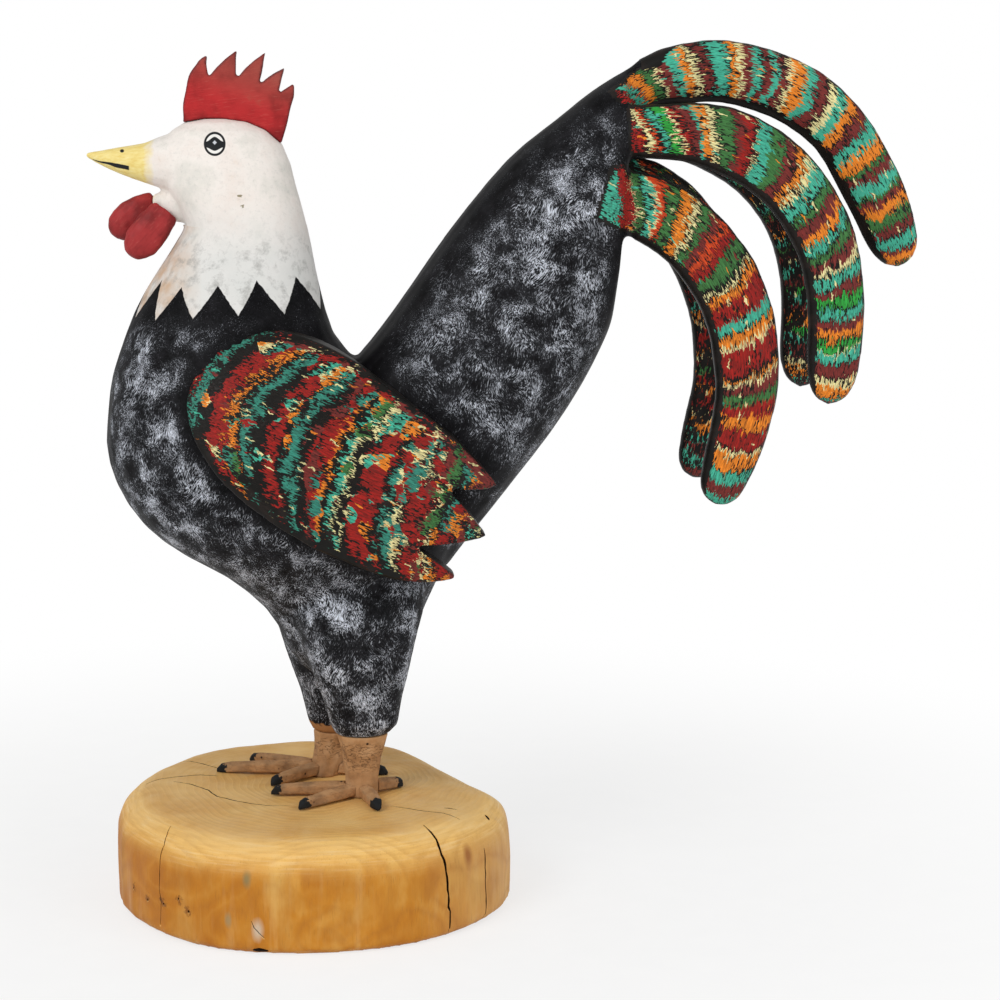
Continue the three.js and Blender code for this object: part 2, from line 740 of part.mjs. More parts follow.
const pegGroups = {
  leg: legPegs,
  tail: tailPegs,
  comb: combPegs,
  wattle: wattlePegs,
  wing: wingPegs,
  feather: featherPegs,
};
place('neck_peg', pegSolid(neckPeg), 'wood');
for (const [group, pegs] of Object.entries(pegGroups)) {
  for (const [which, peg] of Object.entries(pegs)) place(`${group}_peg_${which}`, pegSolid(peg), 'wood');
}

export default rooster;
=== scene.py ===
"""Carved, painted rooster on a log slice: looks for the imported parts, in metres, in the part's own frame."""

import math

import bmesh
import bpy
import numpy as np
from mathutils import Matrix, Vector
from mathutils.kdtree import KDTree


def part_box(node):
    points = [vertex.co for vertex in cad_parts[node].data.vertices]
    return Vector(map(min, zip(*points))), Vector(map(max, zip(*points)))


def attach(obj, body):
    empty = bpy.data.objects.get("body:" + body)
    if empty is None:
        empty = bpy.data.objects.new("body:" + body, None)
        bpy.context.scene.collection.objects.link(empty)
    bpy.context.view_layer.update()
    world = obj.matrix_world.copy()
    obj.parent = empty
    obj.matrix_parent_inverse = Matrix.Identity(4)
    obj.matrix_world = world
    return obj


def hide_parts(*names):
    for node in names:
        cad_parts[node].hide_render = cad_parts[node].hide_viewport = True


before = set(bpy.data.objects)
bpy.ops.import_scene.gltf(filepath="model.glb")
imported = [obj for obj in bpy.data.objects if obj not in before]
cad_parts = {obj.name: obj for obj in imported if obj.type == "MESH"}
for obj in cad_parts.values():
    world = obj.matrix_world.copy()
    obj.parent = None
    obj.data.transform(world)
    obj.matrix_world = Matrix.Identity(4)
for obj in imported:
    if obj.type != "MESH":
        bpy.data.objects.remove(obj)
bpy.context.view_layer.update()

bl_info = {
    "name": "Carved rooster",
    "version": (1, 0, 0),
    "blender": (4, 5, 0),
    "location": "View3D > Sidebar > Carving",
    "description": "Builds the finished surfaces of a carved, painted rooster on a log slice",
    "category": "Object",
}

MM = 0.001
SIDES = (("left", -1.0), ("right", 1.0))
TOES = ("middle", "outer", "inner", "rear")
PEGS = [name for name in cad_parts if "_peg" in name]

# Joints between the blocks: the head's seat on the neck, and the plane where the tail block meets the back.
# The crease and the tail's corner and upper edge are in x and z, in mm.
NECK_JOINT_Z = 416 * MM
NECK_CUT = (Vector((0, 0, NECK_JOINT_Z)), Vector((0, 0, 1)))
HEAD_MOST_X = 60 * MM
HEAD_SKIN_LEAST_Z = 385 * MM
CREASE = (25, 338)
TAIL_JOINT_AT = Vector((CREASE[0] * MM, 0, CREASE[1] * MM))
TAIL_JOINT_NORMAL = Vector((0.719, 0, 0.695))
TAIL_CUT = (TAIL_JOINT_AT, TAIL_JOINT_NORMAL)
TAIL_LEAST_X = 20 * MM
TAIL_CORNER = (181.7, 357.3)
TAIL_UPPER_EDGE = ((28, 333.5), (53.6, 365.3), (85.5, 410.5), (121.8, 453.3), (154, 480.5), (189, 506))

# How each kind of small piece was finished by hand: rounds of sanding, the seed of the knife's unevenness,
# and how long and how deep that is, in mm.
KNIFE_WORK = {
    "comb": (8, 21, 18, 0.2),
    "wattle": (14, 31, 14, 0.35),
    "wing": (14, 51, 30, 0.3),
    "feather": (26, 71, 26, 0.2),
    "shank": (3, 91, 11, 0.2),
    "toe": (1, 101, 12, 0.12),
}
# The body and the head share one unevenness, so that they meet at the neck.
BODY_SEED = 11
BODY_WAVE = 55 * MM
HEAD_DEPTH_SHARE = 0.8
# The log has a long unevenness and a short one: seed, length and depth in mm.
LOG_WAVES = ((5, 60, 0.4), (6, 20, 0.08))
CRACK_SEED = 41

# Rounds of sanding on the large pieces, and where they take hold: heights or distances in mm, none to all.
LOG_ROUNDS = 45
LOG_SANDED_Z = (1, 9)
LOG_UNEVEN_Z = (2, 14)
FACET_ROUNDS = 70
FACET_REACH = (35, 65)
FACET_Z = (15, 35)
BODY_ROUNDS = 60
BODY_SANDED_Z = (118, 150)
THIGH_END_SHARE = 0.3
ROOT_ROUNDS = 30
ROOT_BLEND = ((-24, -8), (3, 9.5))
CORNER_ROUNDS = 40
CORNER_REACH = (12, 34)
HEAD_ROUNDS = 26
TIP_ROUNDS = 20
TIP_REACH = (16, 34)

# The zigzag collar: angle round the neck from the throat, and height of the dark and the pale points in mm.
NECK_CENTRE_X = -42 * MM
NECK_REAR_X = 40
COLLAR_ANGLES = (0, 27.7, 49.6, 76.4, 105.7, 137.7, 180)
COLLAR_HIGH = (383, 384.6, 381.8, 383, 385.7, 386.8, 387)
COLLAR_LOW = (361, 362, 362.2, 365.5, 366.5, 366, 367)
COLLAR_LEVELS = (-3, 4)

# The left wing's outline in x and z, in mm, its front point and the direction of its long axis, and the
# radius of the painted arcs at the front and how far their middle is off the axis. The right wing sits lower.
WING_OUTLINE = (
    (110, 266), (84, 295), (50, 322), (20, 344), (-14, 357), (-45, 352), (-65, 335), (-71, 317), (-66, 295),
    (-50, 272), (-22, 249), (12, 229), (42, 216), (64, 211), (84.5, 212), (58, 234), (103, 236), (79, 267),
)
WING_RING = (*WING_OUTLINE, WING_OUTLINE[0])
WING_UPPER_EDGE = WING_OUTLINE[:5]
WING_FRONT = (-71, 317)
WING_AXIS = (0.906, -0.422)
WING_ARC_RADIUS = 52
WING_ARC_MIDDLE = 12
RIGHT_WING_DROP = 14

# How the wing is painted, in mm. The bands start a little way on, and their arcs flatten along the axis.
WING_BAND_START = 5
WING_ARCS_FLATTEN = (40, 120)
WING_FLATTENING = 0.6
# Full paint at the front and towards the points, and thin paint along the other edges.
WING_FRONT_PAINT = (8, 16)
WING_POINTS = (125, 165)
WING_EDGE = (0.5, 5)
WING_HEM_WIDTH = (2, 9)
# Two slanting lines, by their height at x = 0 and their slope: paint thins out below one, and patches lie
# above the other.
WING_LOWER_LINE = (236, -0.62)
WING_LOWER_FADE = (-4, 24)
WING_PATCH_LINE = (345, -0.72)
WING_PATCH_FADE = (-42, 2)
WING_PATCH_X = (-40, 20)
WING_REAR_PATCHES = (120, 160)

# Middle lines of the tail feathers, in mm: x, distance from the middle plane, z, half width.
FEATHER_LINES = {
    "top": (
        (172, 0, 475, 12), (187, 0, 487, 12.5), (205, 0, 499.5, 15), (230, 0, 506, 18.2), (253, 0, 507, 19),
        (277.6, 0, 501.8, 19), (302.2, 0, 491, 19.2), (323.6, 0, 473.5, 18.4), (339.3, 0, 450.6, 18.7),
        (350.8, 0, 428.5, 18.2), (360.2, 0, 406.5, 16), (366.5, 0, 387.5, 12),
    ),
    "mid": (
        (176, 22, 470, 15.5), (195, 22.5, 471, 16), (214, 25, 471.5, 16.5), (235, 28, 470.2, 18.5),
        (258.8, 32, 462.5, 20), (282, 36, 447.2, 19.8), (299, 39, 426.6, 19), (309.6, 41, 405, 18.4),
        (315, 42.5, 380, 17.5), (316, 43.5, 355, 17), (314.5, 44, 329, 15.8), (312, 44, 307.5, 12),
    ),
    "low": (
        (170, 21.5, 437, 18), (188, 22, 431, 19), (206.5, 25, 425, 20.5), (222, 29, 415.5, 20.8),
        (237.2, 34, 401, 21), (249.4, 39, 382.6, 21), (258.4, 40, 360, 20.6), (262.2, 42, 335, 20),
        (261.5, 44, 310, 18.8), (255.5, 45.5, 286, 17), (248.5, 46.5, 264, 14.5), (243.5, 47, 247.5, 12),
    ),
}
LINE_STEPS = 20
FEATHER_ROOT_X = 190.5
FEATHER_ROOT_NORMAL = Vector((0.9985, 0, -0.055))
FEATHER_ROOT_AT = Vector((FEATHER_ROOT_X * MM, 0, 455 * MM))
# The blended roots end past the joint, and each feather starts a little before that, so that no gap shows.
BLENDED_ROOT = 9 * MM
FEATHER_CUT = BLENDED_ROOT - 0.8 * MM
FEATHER_START = {"top": -2, "mid": 4, "low": -14}
FEATHER_NAMES = ("top", "mid_left", "mid_right", "low_left", "low_right")
FEATHER_DEPTH = {"top": 24, "mid": 12, "low": 12}
RIGHT_FEATHER_BACK = 1.5
LOW_RIGHT_LIFT = 8.5

# How the feathers are painted, in mm: the bands bow and slant, with the outer end nearer the root, and paint
# thins out at the margins, on the edges that face away and where the top feather leaves the tail.
BAND_BOW = 3.5 * MM
BAND_SLANT = {"top": 0.15, "mid": 0.36, "low": 0.32}
SLANT_EASES = (10, 60)
SLANT_FADES = (150, 220)
FEATHER_FACING = {"top": (0.08, 0.35), "mid": (0.25, 0.7), "low": (0.25, 0.7)}
INNER_MARGIN = (1.5, 6)
OUTER_MARGIN = (0, 3)
FIRST_PAINT = (-4, 1)
TOP_ROOT_RUN = (-6, 5, 30, 48)
TOP_ROOT_EDGE = (0.85, 0.65, 0.5, 1.4)
TOP_ROOT_SOFT = 0.15
# On the tail block, paint starts this far before the feathers' joint, where at least this much of it is left.
ROOT_PAINT = -20 * MM
LEAST_PAINT = -0.45

# Bands of brush marks from the root to the tip: a letter for the paint and the band's width in mm.
# k black, t teal, d deep teal, g dark green, b bright green, o orange, v vermilion, r red, m maroon, c cream.
FEATHER_BANDS = {
    "top": "r5 t6 m2 o6 g6 t2 c2 m6 k1 t8 o4 c4 m6 k2 t10 o6 c4 m5 t5 m6 t5 m5 c4 o7 t6 m8 c7 t8 o7 m8 t8 "
    "o8 g4 m6 t8 g3 m6 o7 g7 m6 t8 m4 o6 g5 t6",
    "mid": "r4 c6 v3 k2 t4 b7 c3 r4 m7 t4 o5 c4 g9 m6 r5 c3 t9 g8 m8 o6 c4 t8 g7 m8 o5 t6 g7 m7 c4 t7 k2 "
    "m6 b6 t7 m6 o6 b6 c2 t6 m7 k3 c5 o6 t5 r7 t6",
    "low": "t8 k1 r10 c1 g6 t6 c2 v6 g9 k2 o5 c3 g7 m5 v7 r6 g8 k3 c3 o6 r12 t7 o7 c3 r14 k3 o4 c2 m7 g6 "
    "r9 o6 r10 k3 c3 o10 t9 m7 t7 m6",
}
WING_BANDS = (
    "r2 d7 k11 r8 o3 k6 d5 k8 r11 k6 d5 k7 r11 o3 k4 t6 c2 k7 r12 k6 d5 c4 k4 r14 c4 o5 r10 k6 t6 c4 k5 "
    "m9 o4 d6 k5 m9 t5 k4 m8 g6 m20"
)
WING_PATCHES = (
    "r3 d9 o5 c2 k3 d8 g5 r8 k5 t8 c2 o6 d8 k4 m8 d9 o6 g7 c3 k3 t8 o5 k4 r9 d7 c3 m8 g7 k3 d6 o5 m8 g7 m20"
)
WING_HEM = "r16 k3 m12 c3 r14 k2 m10 c4 r18 k2 m9 r12 c3 m14 k3 r10 c4 m12 g6 m20"

# Black left in front of one band after another, in mm, over and over.
BLACK_GAPS = (0, 1.3, 0.4, 0, 0.9, 1.7, 0.3)
# Paints of the loose flecks, each from a share of them on.
FLECK_PAINTS = ((0, "k"), (0.5, "c"), (0.72, "o"), (0.82, "m"), (0.92, "t"))
# A colour ramp holds 32 stops at most.
RAMP_STOPS = 30
# The dabs: how far each is out of its row and how long and wide it is, in mm, how unevenly they are loaded,
# the share of loose flecks, and how much of the ground shows along the bristles at most.
WING_DABS = {"swing": 5.5, "dab_size": (8.5, 7), "uneven": 0.42, "flecks": 0.16, "leanest": 0.5}
FEATHER_DABS = {"swing": 3.5, "dab_size": (9, 8), "uneven": 0.24, "flecks": 0.14}
FEATHER_LEAN = {"top": 0.2, "mid": 0.34, "low": 0.5}

# The dry brush on body and tail. For each place that it keeps off: the share of it that is left there,
# and where it starts to come back and is back, in mm or, on the ridges, by how far a face turns sideways.
BRUSH_LEFT = {
    "ridges": (0.5, 0.1, 0.4),
    "crease": (0.25, 13, 36),
    # Round the wing the plain charcoal is partly where the board covers the body, partly painted shadow under
    # its edge.
    "wing": (0.2, 2, 12),
    "tail_edge": (0.3, 4, 20),
}
# Where it is leaner, and by how much: by the collar, on the tail and at the feathers' roots; below the wing
# the leaner brush is painted shade.
COLLAR_SHADE_Z = (349, 367)
COLLAR_LEANER = 0.85
TAIL_LEAN = 0.6
TAIL_BACK = (20, 60)
TAIL_Z = (215, 260)
TAIL_TOP_Z = (375, 435)
TAIL_LEANER = 0.1
TAIL_TOP_FULLER = 0.08
ROOT_SHADE = (-16, -3)
ROOT_LEANER = 0.7
UNDER_WING_X = ((-60, -10), (25, 60))
UNDER_WING_Z = ((190, 215), (300, 330))
UNDER_WING_PAINTED_SHADE = 0.12
# Its hair lines: turn about y, and size in mm along x, y and z.
HAIR_LINES = ((0.42, (0.5, 0.55, 3.4)), (-0.3, (0.45, 0.5, 2.5)))

# Places in mm between which a coat goes from nothing to its full share.
NECK_COOLER_Z = (432, 398)
THROAT_TAN_AND_SHADE_X = (-62, -82)
COLLAR_SMUDGE_Z = (416, 404)
FAR_THIGH_RIM_Z = (105, 104)
FAR_SIDE_Y = (2, 3)
FOOT_DIRT_Z = (84, 68)
# The log's side: painted shade to the left and painted light to the right.
LOG_SHADE_LEFT_X = (-20, -120)
LOG_LIGHT_RIGHT_X = (60, 110)

# Cracks in the log: points in mm, width and depth in mm.
LOG_CRACKS = (
    (((64, -89, 66), (68.4, -95.3, 64.8), (72.8, -100, 60.6), (74.3, -103.5, 54.3), (76.7, -102.6, 36.1),
      (77.9, -101.5, 16.6), (79.1, -100.4, 14.9), (77.8, -101.6, 1)), 1.5, 14),
    (((101.9, -76.7, 46.1), (101.9, -76.8, 26.1), (101.9, -76.8, 5.9), (99.9, -79, 1.7)), 1.0, 9),
    (((-87.2, -71.7, 65.3), (-91.6, -82.6, 57.8), (-92.3, -85.4, 44), (-92.7, -84.9, 29),
      (-91.7, -86.3, 20.2), (-92.6, -85, 6.7)), 0.55, 5),
    (((-84.6, 62.7, 66), (-73.3, 54.6, 66), (-60.6, 39.5, 66)), 0.8, 5),
    (((-106.3, 14.6, 66), (-97.2, 20, 66), (-86.7, 23.5, 66), (-72.2, 24.5, 66), (-60.1, 21.2, 66)), 0.9, 5),
    (((-88.1, 12.5, 66), (-77.8, 4.9, 66), (-66.2, -7.1, 66), (-60.8, -20.5, 66), (-48.9, -32.1, 66),
      (-39.7, -37.1, 66), (-27.4, -44.5, 66), (-15.3, -45.5, 66)), 0.9, 5),
    (((45.4, -50.8, 66), (54.3, -55.8, 66), (63, -62.7, 66), (74.8, -67.8, 66), (87.1, -73.4, 65)), 0.8, 6),
    (((106.2, -54.3, 63.5), (107.4, -56, 62), (108.4, -57.7, 60.7)), 2.4, 4),
    (((78, -57, 66), (82.1, -58.2, 66), (86, -59, 66)), 1.2, 3),
    (((-38, -121.5, 1.2), (-33.7, -122.5, 1.6), (-29, -123, 1.2)), 5.0, 6),
    (((-38.5, -121.6, 20.5), (-36.5, -121.9, 15.5), (-31, -122.9, 10.5)), 0.7, 2),
    (((30, 104, 66), (36, 112, 62), (38, 116, 45), (40, 117, 20), (41, 117, 2)), 1.1, 9),
)
CRACK_STEP = 3.5 * MM
CRACK_PROUD = 3 * MM
CRACK_WANDER = 0.35
BEETLE_HOLES = (
    (-109.8, -58.6, 21.8), (-100.6, -74.2, 19.9), (-91.6, -86.4, 22.7), (-90.4, -88.1, 20.7),
    (-81, -97.7, 26.3), (-75.7, -103, 21.2),
)
HOLE_SIDES = 10
HOLE_RADIUS = 0.65 * MM
HOLE_DEPTH = 5 * MM
HOLE_PROUD = 2 * MM
DUST_RADIUS = 6.5 * MM
# Stains, a scar and a resin mark on the log, taller than wide: place and half width in mm, and colour.
LOG_MARKS = (
    ((-41.1, -120.8, 45.7), 3.4, "#7F7F5B"),
    ((-52.0, -116.6, 19.8), 2.6, "#9A8A66"),
    ((-34.6, -122.3, 15.0), 4.2, "#D9CDB8"),
    ((90.4, -89.9, 47.0), 5.0, "#8C4A26"),
)
LOG_MARK_WIDTH_SHARE = 0.48
LOG_PITH = (32 * MM, 30 * MM, 0)

# The way that the axe-cut flat at the right rear faces, seen from above.
FACET_WAY = (0.907, 0.421, 0)

# The dark line along the comb's edge thins out between these distances in mm, and the comb's points are worn.
COMB_LINE = (0.2, 1.9)
COMB_NARROW_FACING = 0.6
COMB_WORN_Z = (472, 500)
COMB_WORN_SLOPE = 0.3

# The painted eye and beak marks in x and z, in mm.
EYE_AT = (-53.6, 464.7)
EYE_HALF = (6.4, 7.0)
EYE_LINE_SHARE = 0.2
EYE_SOFT = 0.02
# The lens: half the width of its swelling, and the swelling and the plain height above and below the middle.
LENS_SWELLING = 5.0
LENS_OVER = (2.7, 1.4)
LENS_UNDER = (1.9, 2.1)
LENS_SOFT = 0.1
SPARK_UP = 0.8
SPARK_SIZE = (1.5, 1.0)
MOUTH_FRONT = (-126.5, 454.9)
MOUTH_REAR = (-105.0, 450.2)
MOUTH_THICK_X = -112.0
MOUTH_HALF = (0.2, 1.25)
MOUTH_WOBBLE = 0.9
MOUTH_SOFT = 0.12
MOUTH_END = 0.5
MOUTH_END_SOFT = 0.6
NOSTRIL_AT = (-108.9, 460.3)
NOSTRIL_HALF = (1.0, 1 / 1.3)
NOSTRIL_EDGE = (1.5, 1.0)
BEAK_REAR_X = -93
BEAK_EDGE = (7, 1)
CHEEK_CHIPS = ((-39.2, 434.5), (-38.1, 428.7))
CHIP_HALF = (2.0, 1.0)
CHIP_RAGGED = 3

# A claw's black paint starts this far from the toe's tip.
CLAW_LENGTH = 11 * MM

# The photograph's view and the stage: metres and degrees.
VIEW_TARGET = Vector((0.1171, 0.0, 0.2454))
VIEW_AZIMUTH = -5.0
VIEW_ELEVATION = 9.7
VIEW_DISTANCE = 1.488
VIEW_LENS = 86.4
SENSOR_WIDTH = 36.0
FLOOR_RADIUS = 9.0
FLOOR_SIDES = 64
FLOOR_DROP = 0.2 * MM
# The floor's paper goes to plain white between these distances from the figure.
WHITE_AWAY = (0.2, 0.75)
LAMP_AIM = Vector((0.06, 0, 0.26))
# Lamps: name, width and place.
LAMPS = (("key", 1.4, (-1.5, -1.7, 1.9)), ("fill", 1.6, (1.9, -1.5, 1.1)))

# How light enters acrylic and wood, and the specular level of dull acrylic over rough wood and of matt
# acrylic with a dry brush over it, under the 0.5 of a smooth film.
ACRYLIC_IOR = 1.49
WOOD_IOR = 1.5
DULL = 0.15
MATT = 0.05

# A mix node's sockets by number, because they share their names: the share, two values, two colours, and the
# colour that comes out.
SHARE = 0
ONE, OTHER = 2, 3
UNDER, OVER = 6, 7
MIXED = 2


def linear(hex_colour):
    """Linear RGB of an sRGB hex colour."""
    shares = [int(hex_colour[i : i + 2], 16) / 255 for i in (1, 3, 5)]
    return tuple(s / 12.92 if s <= 0.04045 else ((s + 0.055) / 1.055) ** 2.4 for s in shares)


def colour(name, description, hex_colour):
    """A colour that a user may change."""
    return bpy.props.FloatVectorProperty(
        name=name, description=description, subtype="COLOR", size=3, min=0, max=1, default=linear(hex_colour)
    )


def length(name, description, millimetres):
    """A length that a user may change."""
    return bpy.props.FloatProperty(
        name=name, description=description, subtype="DISTANCE", unit="LENGTH", min=0, default=millimetres * MM
    )


def power(name, description, watts):
    """A lamp's power that a user may change."""
    return bpy.props.FloatProperty(
        name=name, description=description, subtype="POWER", min=0, default=watts
    )


class CarvingSizes(bpy.types.PropertyGroup):
    """Sizes of the carving's surface."""

    body_cell: length("Body cell", "Mesh cell of the body and tail block", 2.1)
    head_cell: length("Head cell", "Mesh cell of the head", 1.2)
    log_cell: length("Log cell", "Mesh cell of the log slice", 2.0)
    wing_cell: length("Wing cell", "Mesh cell of the wings", 1.5)
    feather_cell: length("Feather cell", "Mesh cell of the tail feathers", 1.7)
    comb_cell: length("Comb cell", "Mesh cell of the comb and wattles", 0.9)
    foot_cell: length("Foot cell", "Mesh cell of the shanks and toes", 0.75)
    carved_depth: length("Carved unevenness", "Depth of the knife's unevenness on the body", 0.35)
    mark_length: length("Brush mark length", "Length of the brush marks in a painted band", 6.0)
    mark_width: length("Brush mark width", "Width of the brush marks in a painted band", 1.6)
    ring_width: length("Growth ring", "Width of the log's growth rings", 4.5)


class CarvingColours(bpy.types.PropertyGroup):
    """Colours of the carving's paints and woods."""

    charcoal: colour("Charcoal", "Ground coat of the body and tail", "#0F0E10")
    brushed: colour("Brushed white", "Bluish white dry-brushed on the body", "#DDE2ED")
    white: colour("Head white", "Coat of the head and neck", "#F0E9E2")
    beak: colour("Beak yellow", "Coat of the beak", "#F0DC90")
    comb: colour("Comb red", "Coat of the comb", "#B02A2C")
    wattle: colour("Wattle red", "Coat of the wattles", "#A32B30")
    leg: colour("Leg brown", "Coat of the shanks and toes", "#B2865C")
    claw: colour("Claw black", "Coat of the claws and painted lines", "#1F2123")
    honey: colour("Log honey", "Side of the log", "#C9852B")
    pale: colour("Log pale", "Pale growth of the log", "#DDAA58")
    amber: colour("Log amber", "Dark growth of the log", "#B26C1E")
    peg: colour("Peg beech", "Hidden pegs", "#C9A272")
    k: colour("Black", "Ground coat of the wings and feathers", "#141311")
    t: colour("Teal", "Teal brush marks", "#48B699")
    g: colour("Dark green", "Dark green brush marks", "#437A42")
    d: colour("Deep teal", "Deep teal brush marks", "#3A8C79")
    b: colour("Bright green", "Bright green brush marks", "#33A643")
    o: colour("Orange", "Orange brush marks", "#F28A2A")
    v: colour("Vermilion", "Vermilion brush marks", "#D64A20")
    r: colour("Red", "Red brush marks", "#A0211C")
    m: colour("Maroon", "Maroon brush marks", "#7B302C")
    c: colour("Cream", "Cream brush marks", "#F0E4A4")


class CarvingStage(bpy.types.PropertyGroup):
    """Light of the plain studio."""

    sky: bpy.props.FloatProperty(name="Sky", description="Even light from all round", min=0, default=0.52)
    key: power("Key lamp", "Power of the large lamp at the front left", 33)
    fill: power("Fill lamp", "Power of the lamp at the front right", 15)


def rows_of(items, name):
    """Three numbers of each item of a mesh, such as its place or direction, as the rows of an array."""
    held = np.empty(len(items) * 3)
    items.foreach_get(name, held)
    return held.reshape(-1, 3)


def skin_of(names, cell, above=None):
    """Points and faces of one closed skin wrapped round CAD nodes, without the hollows inside it."""
    joined = bmesh.new()
    for name in names:
        joined.from_mesh(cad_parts[name].data)
    if above is not None:
        bmesh.ops.remove_doubles(joined, verts=joined.verts, dist=1e-6)
        everything = joined.verts[:] + joined.edges[:] + joined.faces[:]
        bmesh.ops.bisect_plane(
            joined, geom=everything, plane_co=(0, 0, above), plane_no=(0, 0, 1), clear_inner=True
        )
        bmesh.ops.holes_fill(joined, edges=[e for e in joined.edges if e.is_boundary])
    mesh = bpy.data.meshes.new("wrap")
    joined.to_mesh(mesh)
    joined.free()
    wrap = bpy.data.objects.new("wrap", mesh)
    bpy.context.scene.collection.objects.link(wrap)
    remesh = wrap.modifiers.new("wrap", "REMESH")
    remesh.mode = "VOXEL"
    remesh.voxel_size = cell
    skin = wrap.evaluated_get(bpy.context.evaluated_depsgraph_get()).to_mesh()
    points = rows_of(skin.vertices, "co")
    faces = np.empty(len(skin.loops), np.int32)
    skin.loops.foreach_get("vertex_index", faces)
    if len(faces) != 4 * len(skin.polygons) or not len(faces):
        raise RuntimeError(f"the skin of {names} is not made of quads")
    bpy.data.objects.remove(wrap)
    return largest_part(points, faces.reshape(-1, 4))


def largest_part(points, faces):
    """The part of a skin with the most points, out of the parts that do not touch."""
    one, other = edges_of(faces).T
    label = np.arange(len(points))
    while True:
        low = label.copy()
        np.minimum.at(low, one, label[other])
        np.minimum.at(low, other, label[one])
        low = low[low]
        if (low == label).all():
            break
        label = low
    kept = label == np.bincount(label).argmax()
    index = np.cumsum(kept) - 1
    return points[kept], index[faces[kept[faces[:, 0]]]]


def edges_of(faces):
    """Each edge of quads once, as pairs of point numbers."""
    pairs = np.sort(np.stack([faces, np.roll(faces, -1, 1)], 2).reshape(-1, 2), 1)
    return np.unique(pairs, axis=0)


def normals_of(points, faces):
    """Outward direction at each point of a skin of quads."""
    across = np.cross(points[faces[:, 2]] - points[faces[:, 0]], points[faces[:, 3]] - points[faces[:, 1]])
    total = np.stack(
        [np.bincount(faces.ravel(), np.repeat(across[:, k], 4), len(points)) for k in range(3)], 1
    )
    return total / np.maximum(np.linalg.norm(total, axis=1, keepdims=True), 1e-12)


def sanded(points, faces, rounds, share=1.0, push=0.53):
    """Points smoothed as by sandpaper; the push back after each turn keeps the shape from shrinking."""
    edges = edges_of(faces)
    count = np.bincount(edges.ravel(), minlength=len(points))[:, None]
    one, other = edges.T
    share = np.reshape(share, (-1, 1))
    for turn in range(2 * rounds):
        total = np.empty_like(points)
        for k in range(3):
            total[:, k] = np.bincount(one, points[other, k], len(points))
            total[:, k] += np.bincount(other, points[one, k], len(points))
        points = points + share * (0.5 if turn % 2 == 0 else -push) * (total / count - points)
    return points


def waves(points, seed, wave, depth):
    """Soft seeded unevenness at each point, about depth high and wave long."""
    draw = np.random.default_rng(seed)
    total = np.zeros(len(points))
    for _ in range(9):
        way = draw.normal(size=3)
        way *= 2 * math.pi / (np.linalg.norm(way) * wave * draw.uniform(0.6, 1.7))
        total += np.sin(points @ way + draw.uniform(0, 2 * math.pi))
    return depth * total / 3


def knife_marked(points, faces, seed, wave, depth):
    """Points moved in and out by the knife's unevenness."""
    return points + normals_of(points, faces) * waves(points, seed, wave, depth)[:, None]


def carved(kind, node, cell, number=0):
    """The skin of a small piece, sanded and left a little uneven as its kind is, by a seed for its number."""
    rounds, seed, wave, depth = KNIFE_WORK[kind]
    points, faces = skin_of([node], cell)
    points = sanded(points, faces, rounds)
    return knife_marked(points, faces, seed + number, wave * MM, depth * MM), faces


def step(values, low, high):
    """0 below low, 1 above high, and an even bend between them."""
    share = np.clip((values - low) / (high - low), 0, 1)
    return share * share * (3 - 2 * share)


def between(values, rise, fall):
    """1 between two places, with an even bend up over the first pair of values and down over the second."""
    return step(values, *rise) * (1 - step(values, *fall))


def distance_to_line(places, line):
    """Distance of flat places from a line through points."""
    best = np.full(len(places), np.inf)
    for start, end in zip(line[:-1], line[1:]):
        start, way = np.array(start, float), np.subtract(end, start)
        share = np.clip((places - start) @ way / (way @ way), 0, 1)
        best = np.minimum(best, np.linalg.norm(places - start - share[:, None] * way, axis=1))
    return best


def mesh_of(name, points, faces):
    """A mesh from arrays."""
    mesh = bpy.data.meshes.new(name)
    mesh.from_pydata(points.tolist(), [], faces.tolist())
    return mesh


def dress(name, mesh, finish, nodes, fields=None, sharp=50, others=(), pick=None):
    """Makes a mesh a piece of the figure: shading, painted fields, finishes, body and nodes it stands for."""
    mesh.shade_smooth()
    mesh.set_sharp_from_angle(angle=math.radians(sharp))
    if fields:
        painted = fields(rows_of(mesh.vertices, "co"), rows_of(mesh.vertex_normals, "vector"))
        for field, values in painted.items():
            flat = values.ndim == 1
            held = mesh.attributes.new(field, "FLOAT" if flat else "FLOAT_VECTOR", "POINT")
            held.data.foreach_set("value" if flat else "vector", values.astype(np.float32).ravel())
    mesh.materials.clear()
    for coating in (finish, *others):
        mesh.materials.append(coating)
    if pick:
        chosen = pick(rows_of(mesh.polygons, "center"), rows_of(mesh.polygons, "normal"))
        mesh.polygons.foreach_set("material_index", chosen.astype(np.int32))
    piece = bpy.data.objects.new(name, mesh)
    bpy.context.scene.collection.objects.link(piece)
    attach(piece, "root")
    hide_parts(*nodes)


def part_of(points, faces, planes, chosen):
    """The faces of a skin that chosen picks by their middles, cut along planes, with the open ends closed."""
    work = bmesh.new()
    mesh = mesh_of("cut", points, faces)
    work.from_mesh(mesh)
    bpy.data.meshes.remove(mesh)
    for at, normal in planes:
        everything = work.verts[:] + work.edges[:] + work.faces[:]
        bmesh.ops.bisect_plane(work, geom=everything, dist=1e-5, plane_co=at, plane_no=normal)
    left = [f for f in work.faces if not chosen(f.calc_center_median())]
    bmesh.ops.delete(work, geom=left, context="FACES")
    rim = [e for e in work.edges if e.is_boundary]
    cap = bmesh.ops.holes_fill(work, edges=rim)["faces"]
    bmesh.ops.triangulate(work, faces=cap)
    bmesh.ops.recalc_face_normals(work, faces=work.faces)
    mesh = bpy.data.meshes.new("part")
    work.to_mesh(mesh)
    work.free()
    return mesh


def past_root(place):
    """Distance of a place beyond the plane where the feathers meet the tail block."""
    return (place - FEATHER_ROOT_AT).dot(FEATHER_ROOT_NORMAL)


def past_root_of(points):
    """The same distance for an array of points."""
    return (points - np.array(FEATHER_ROOT_AT)) @ np.array(FEATHER_ROOT_NORMAL)


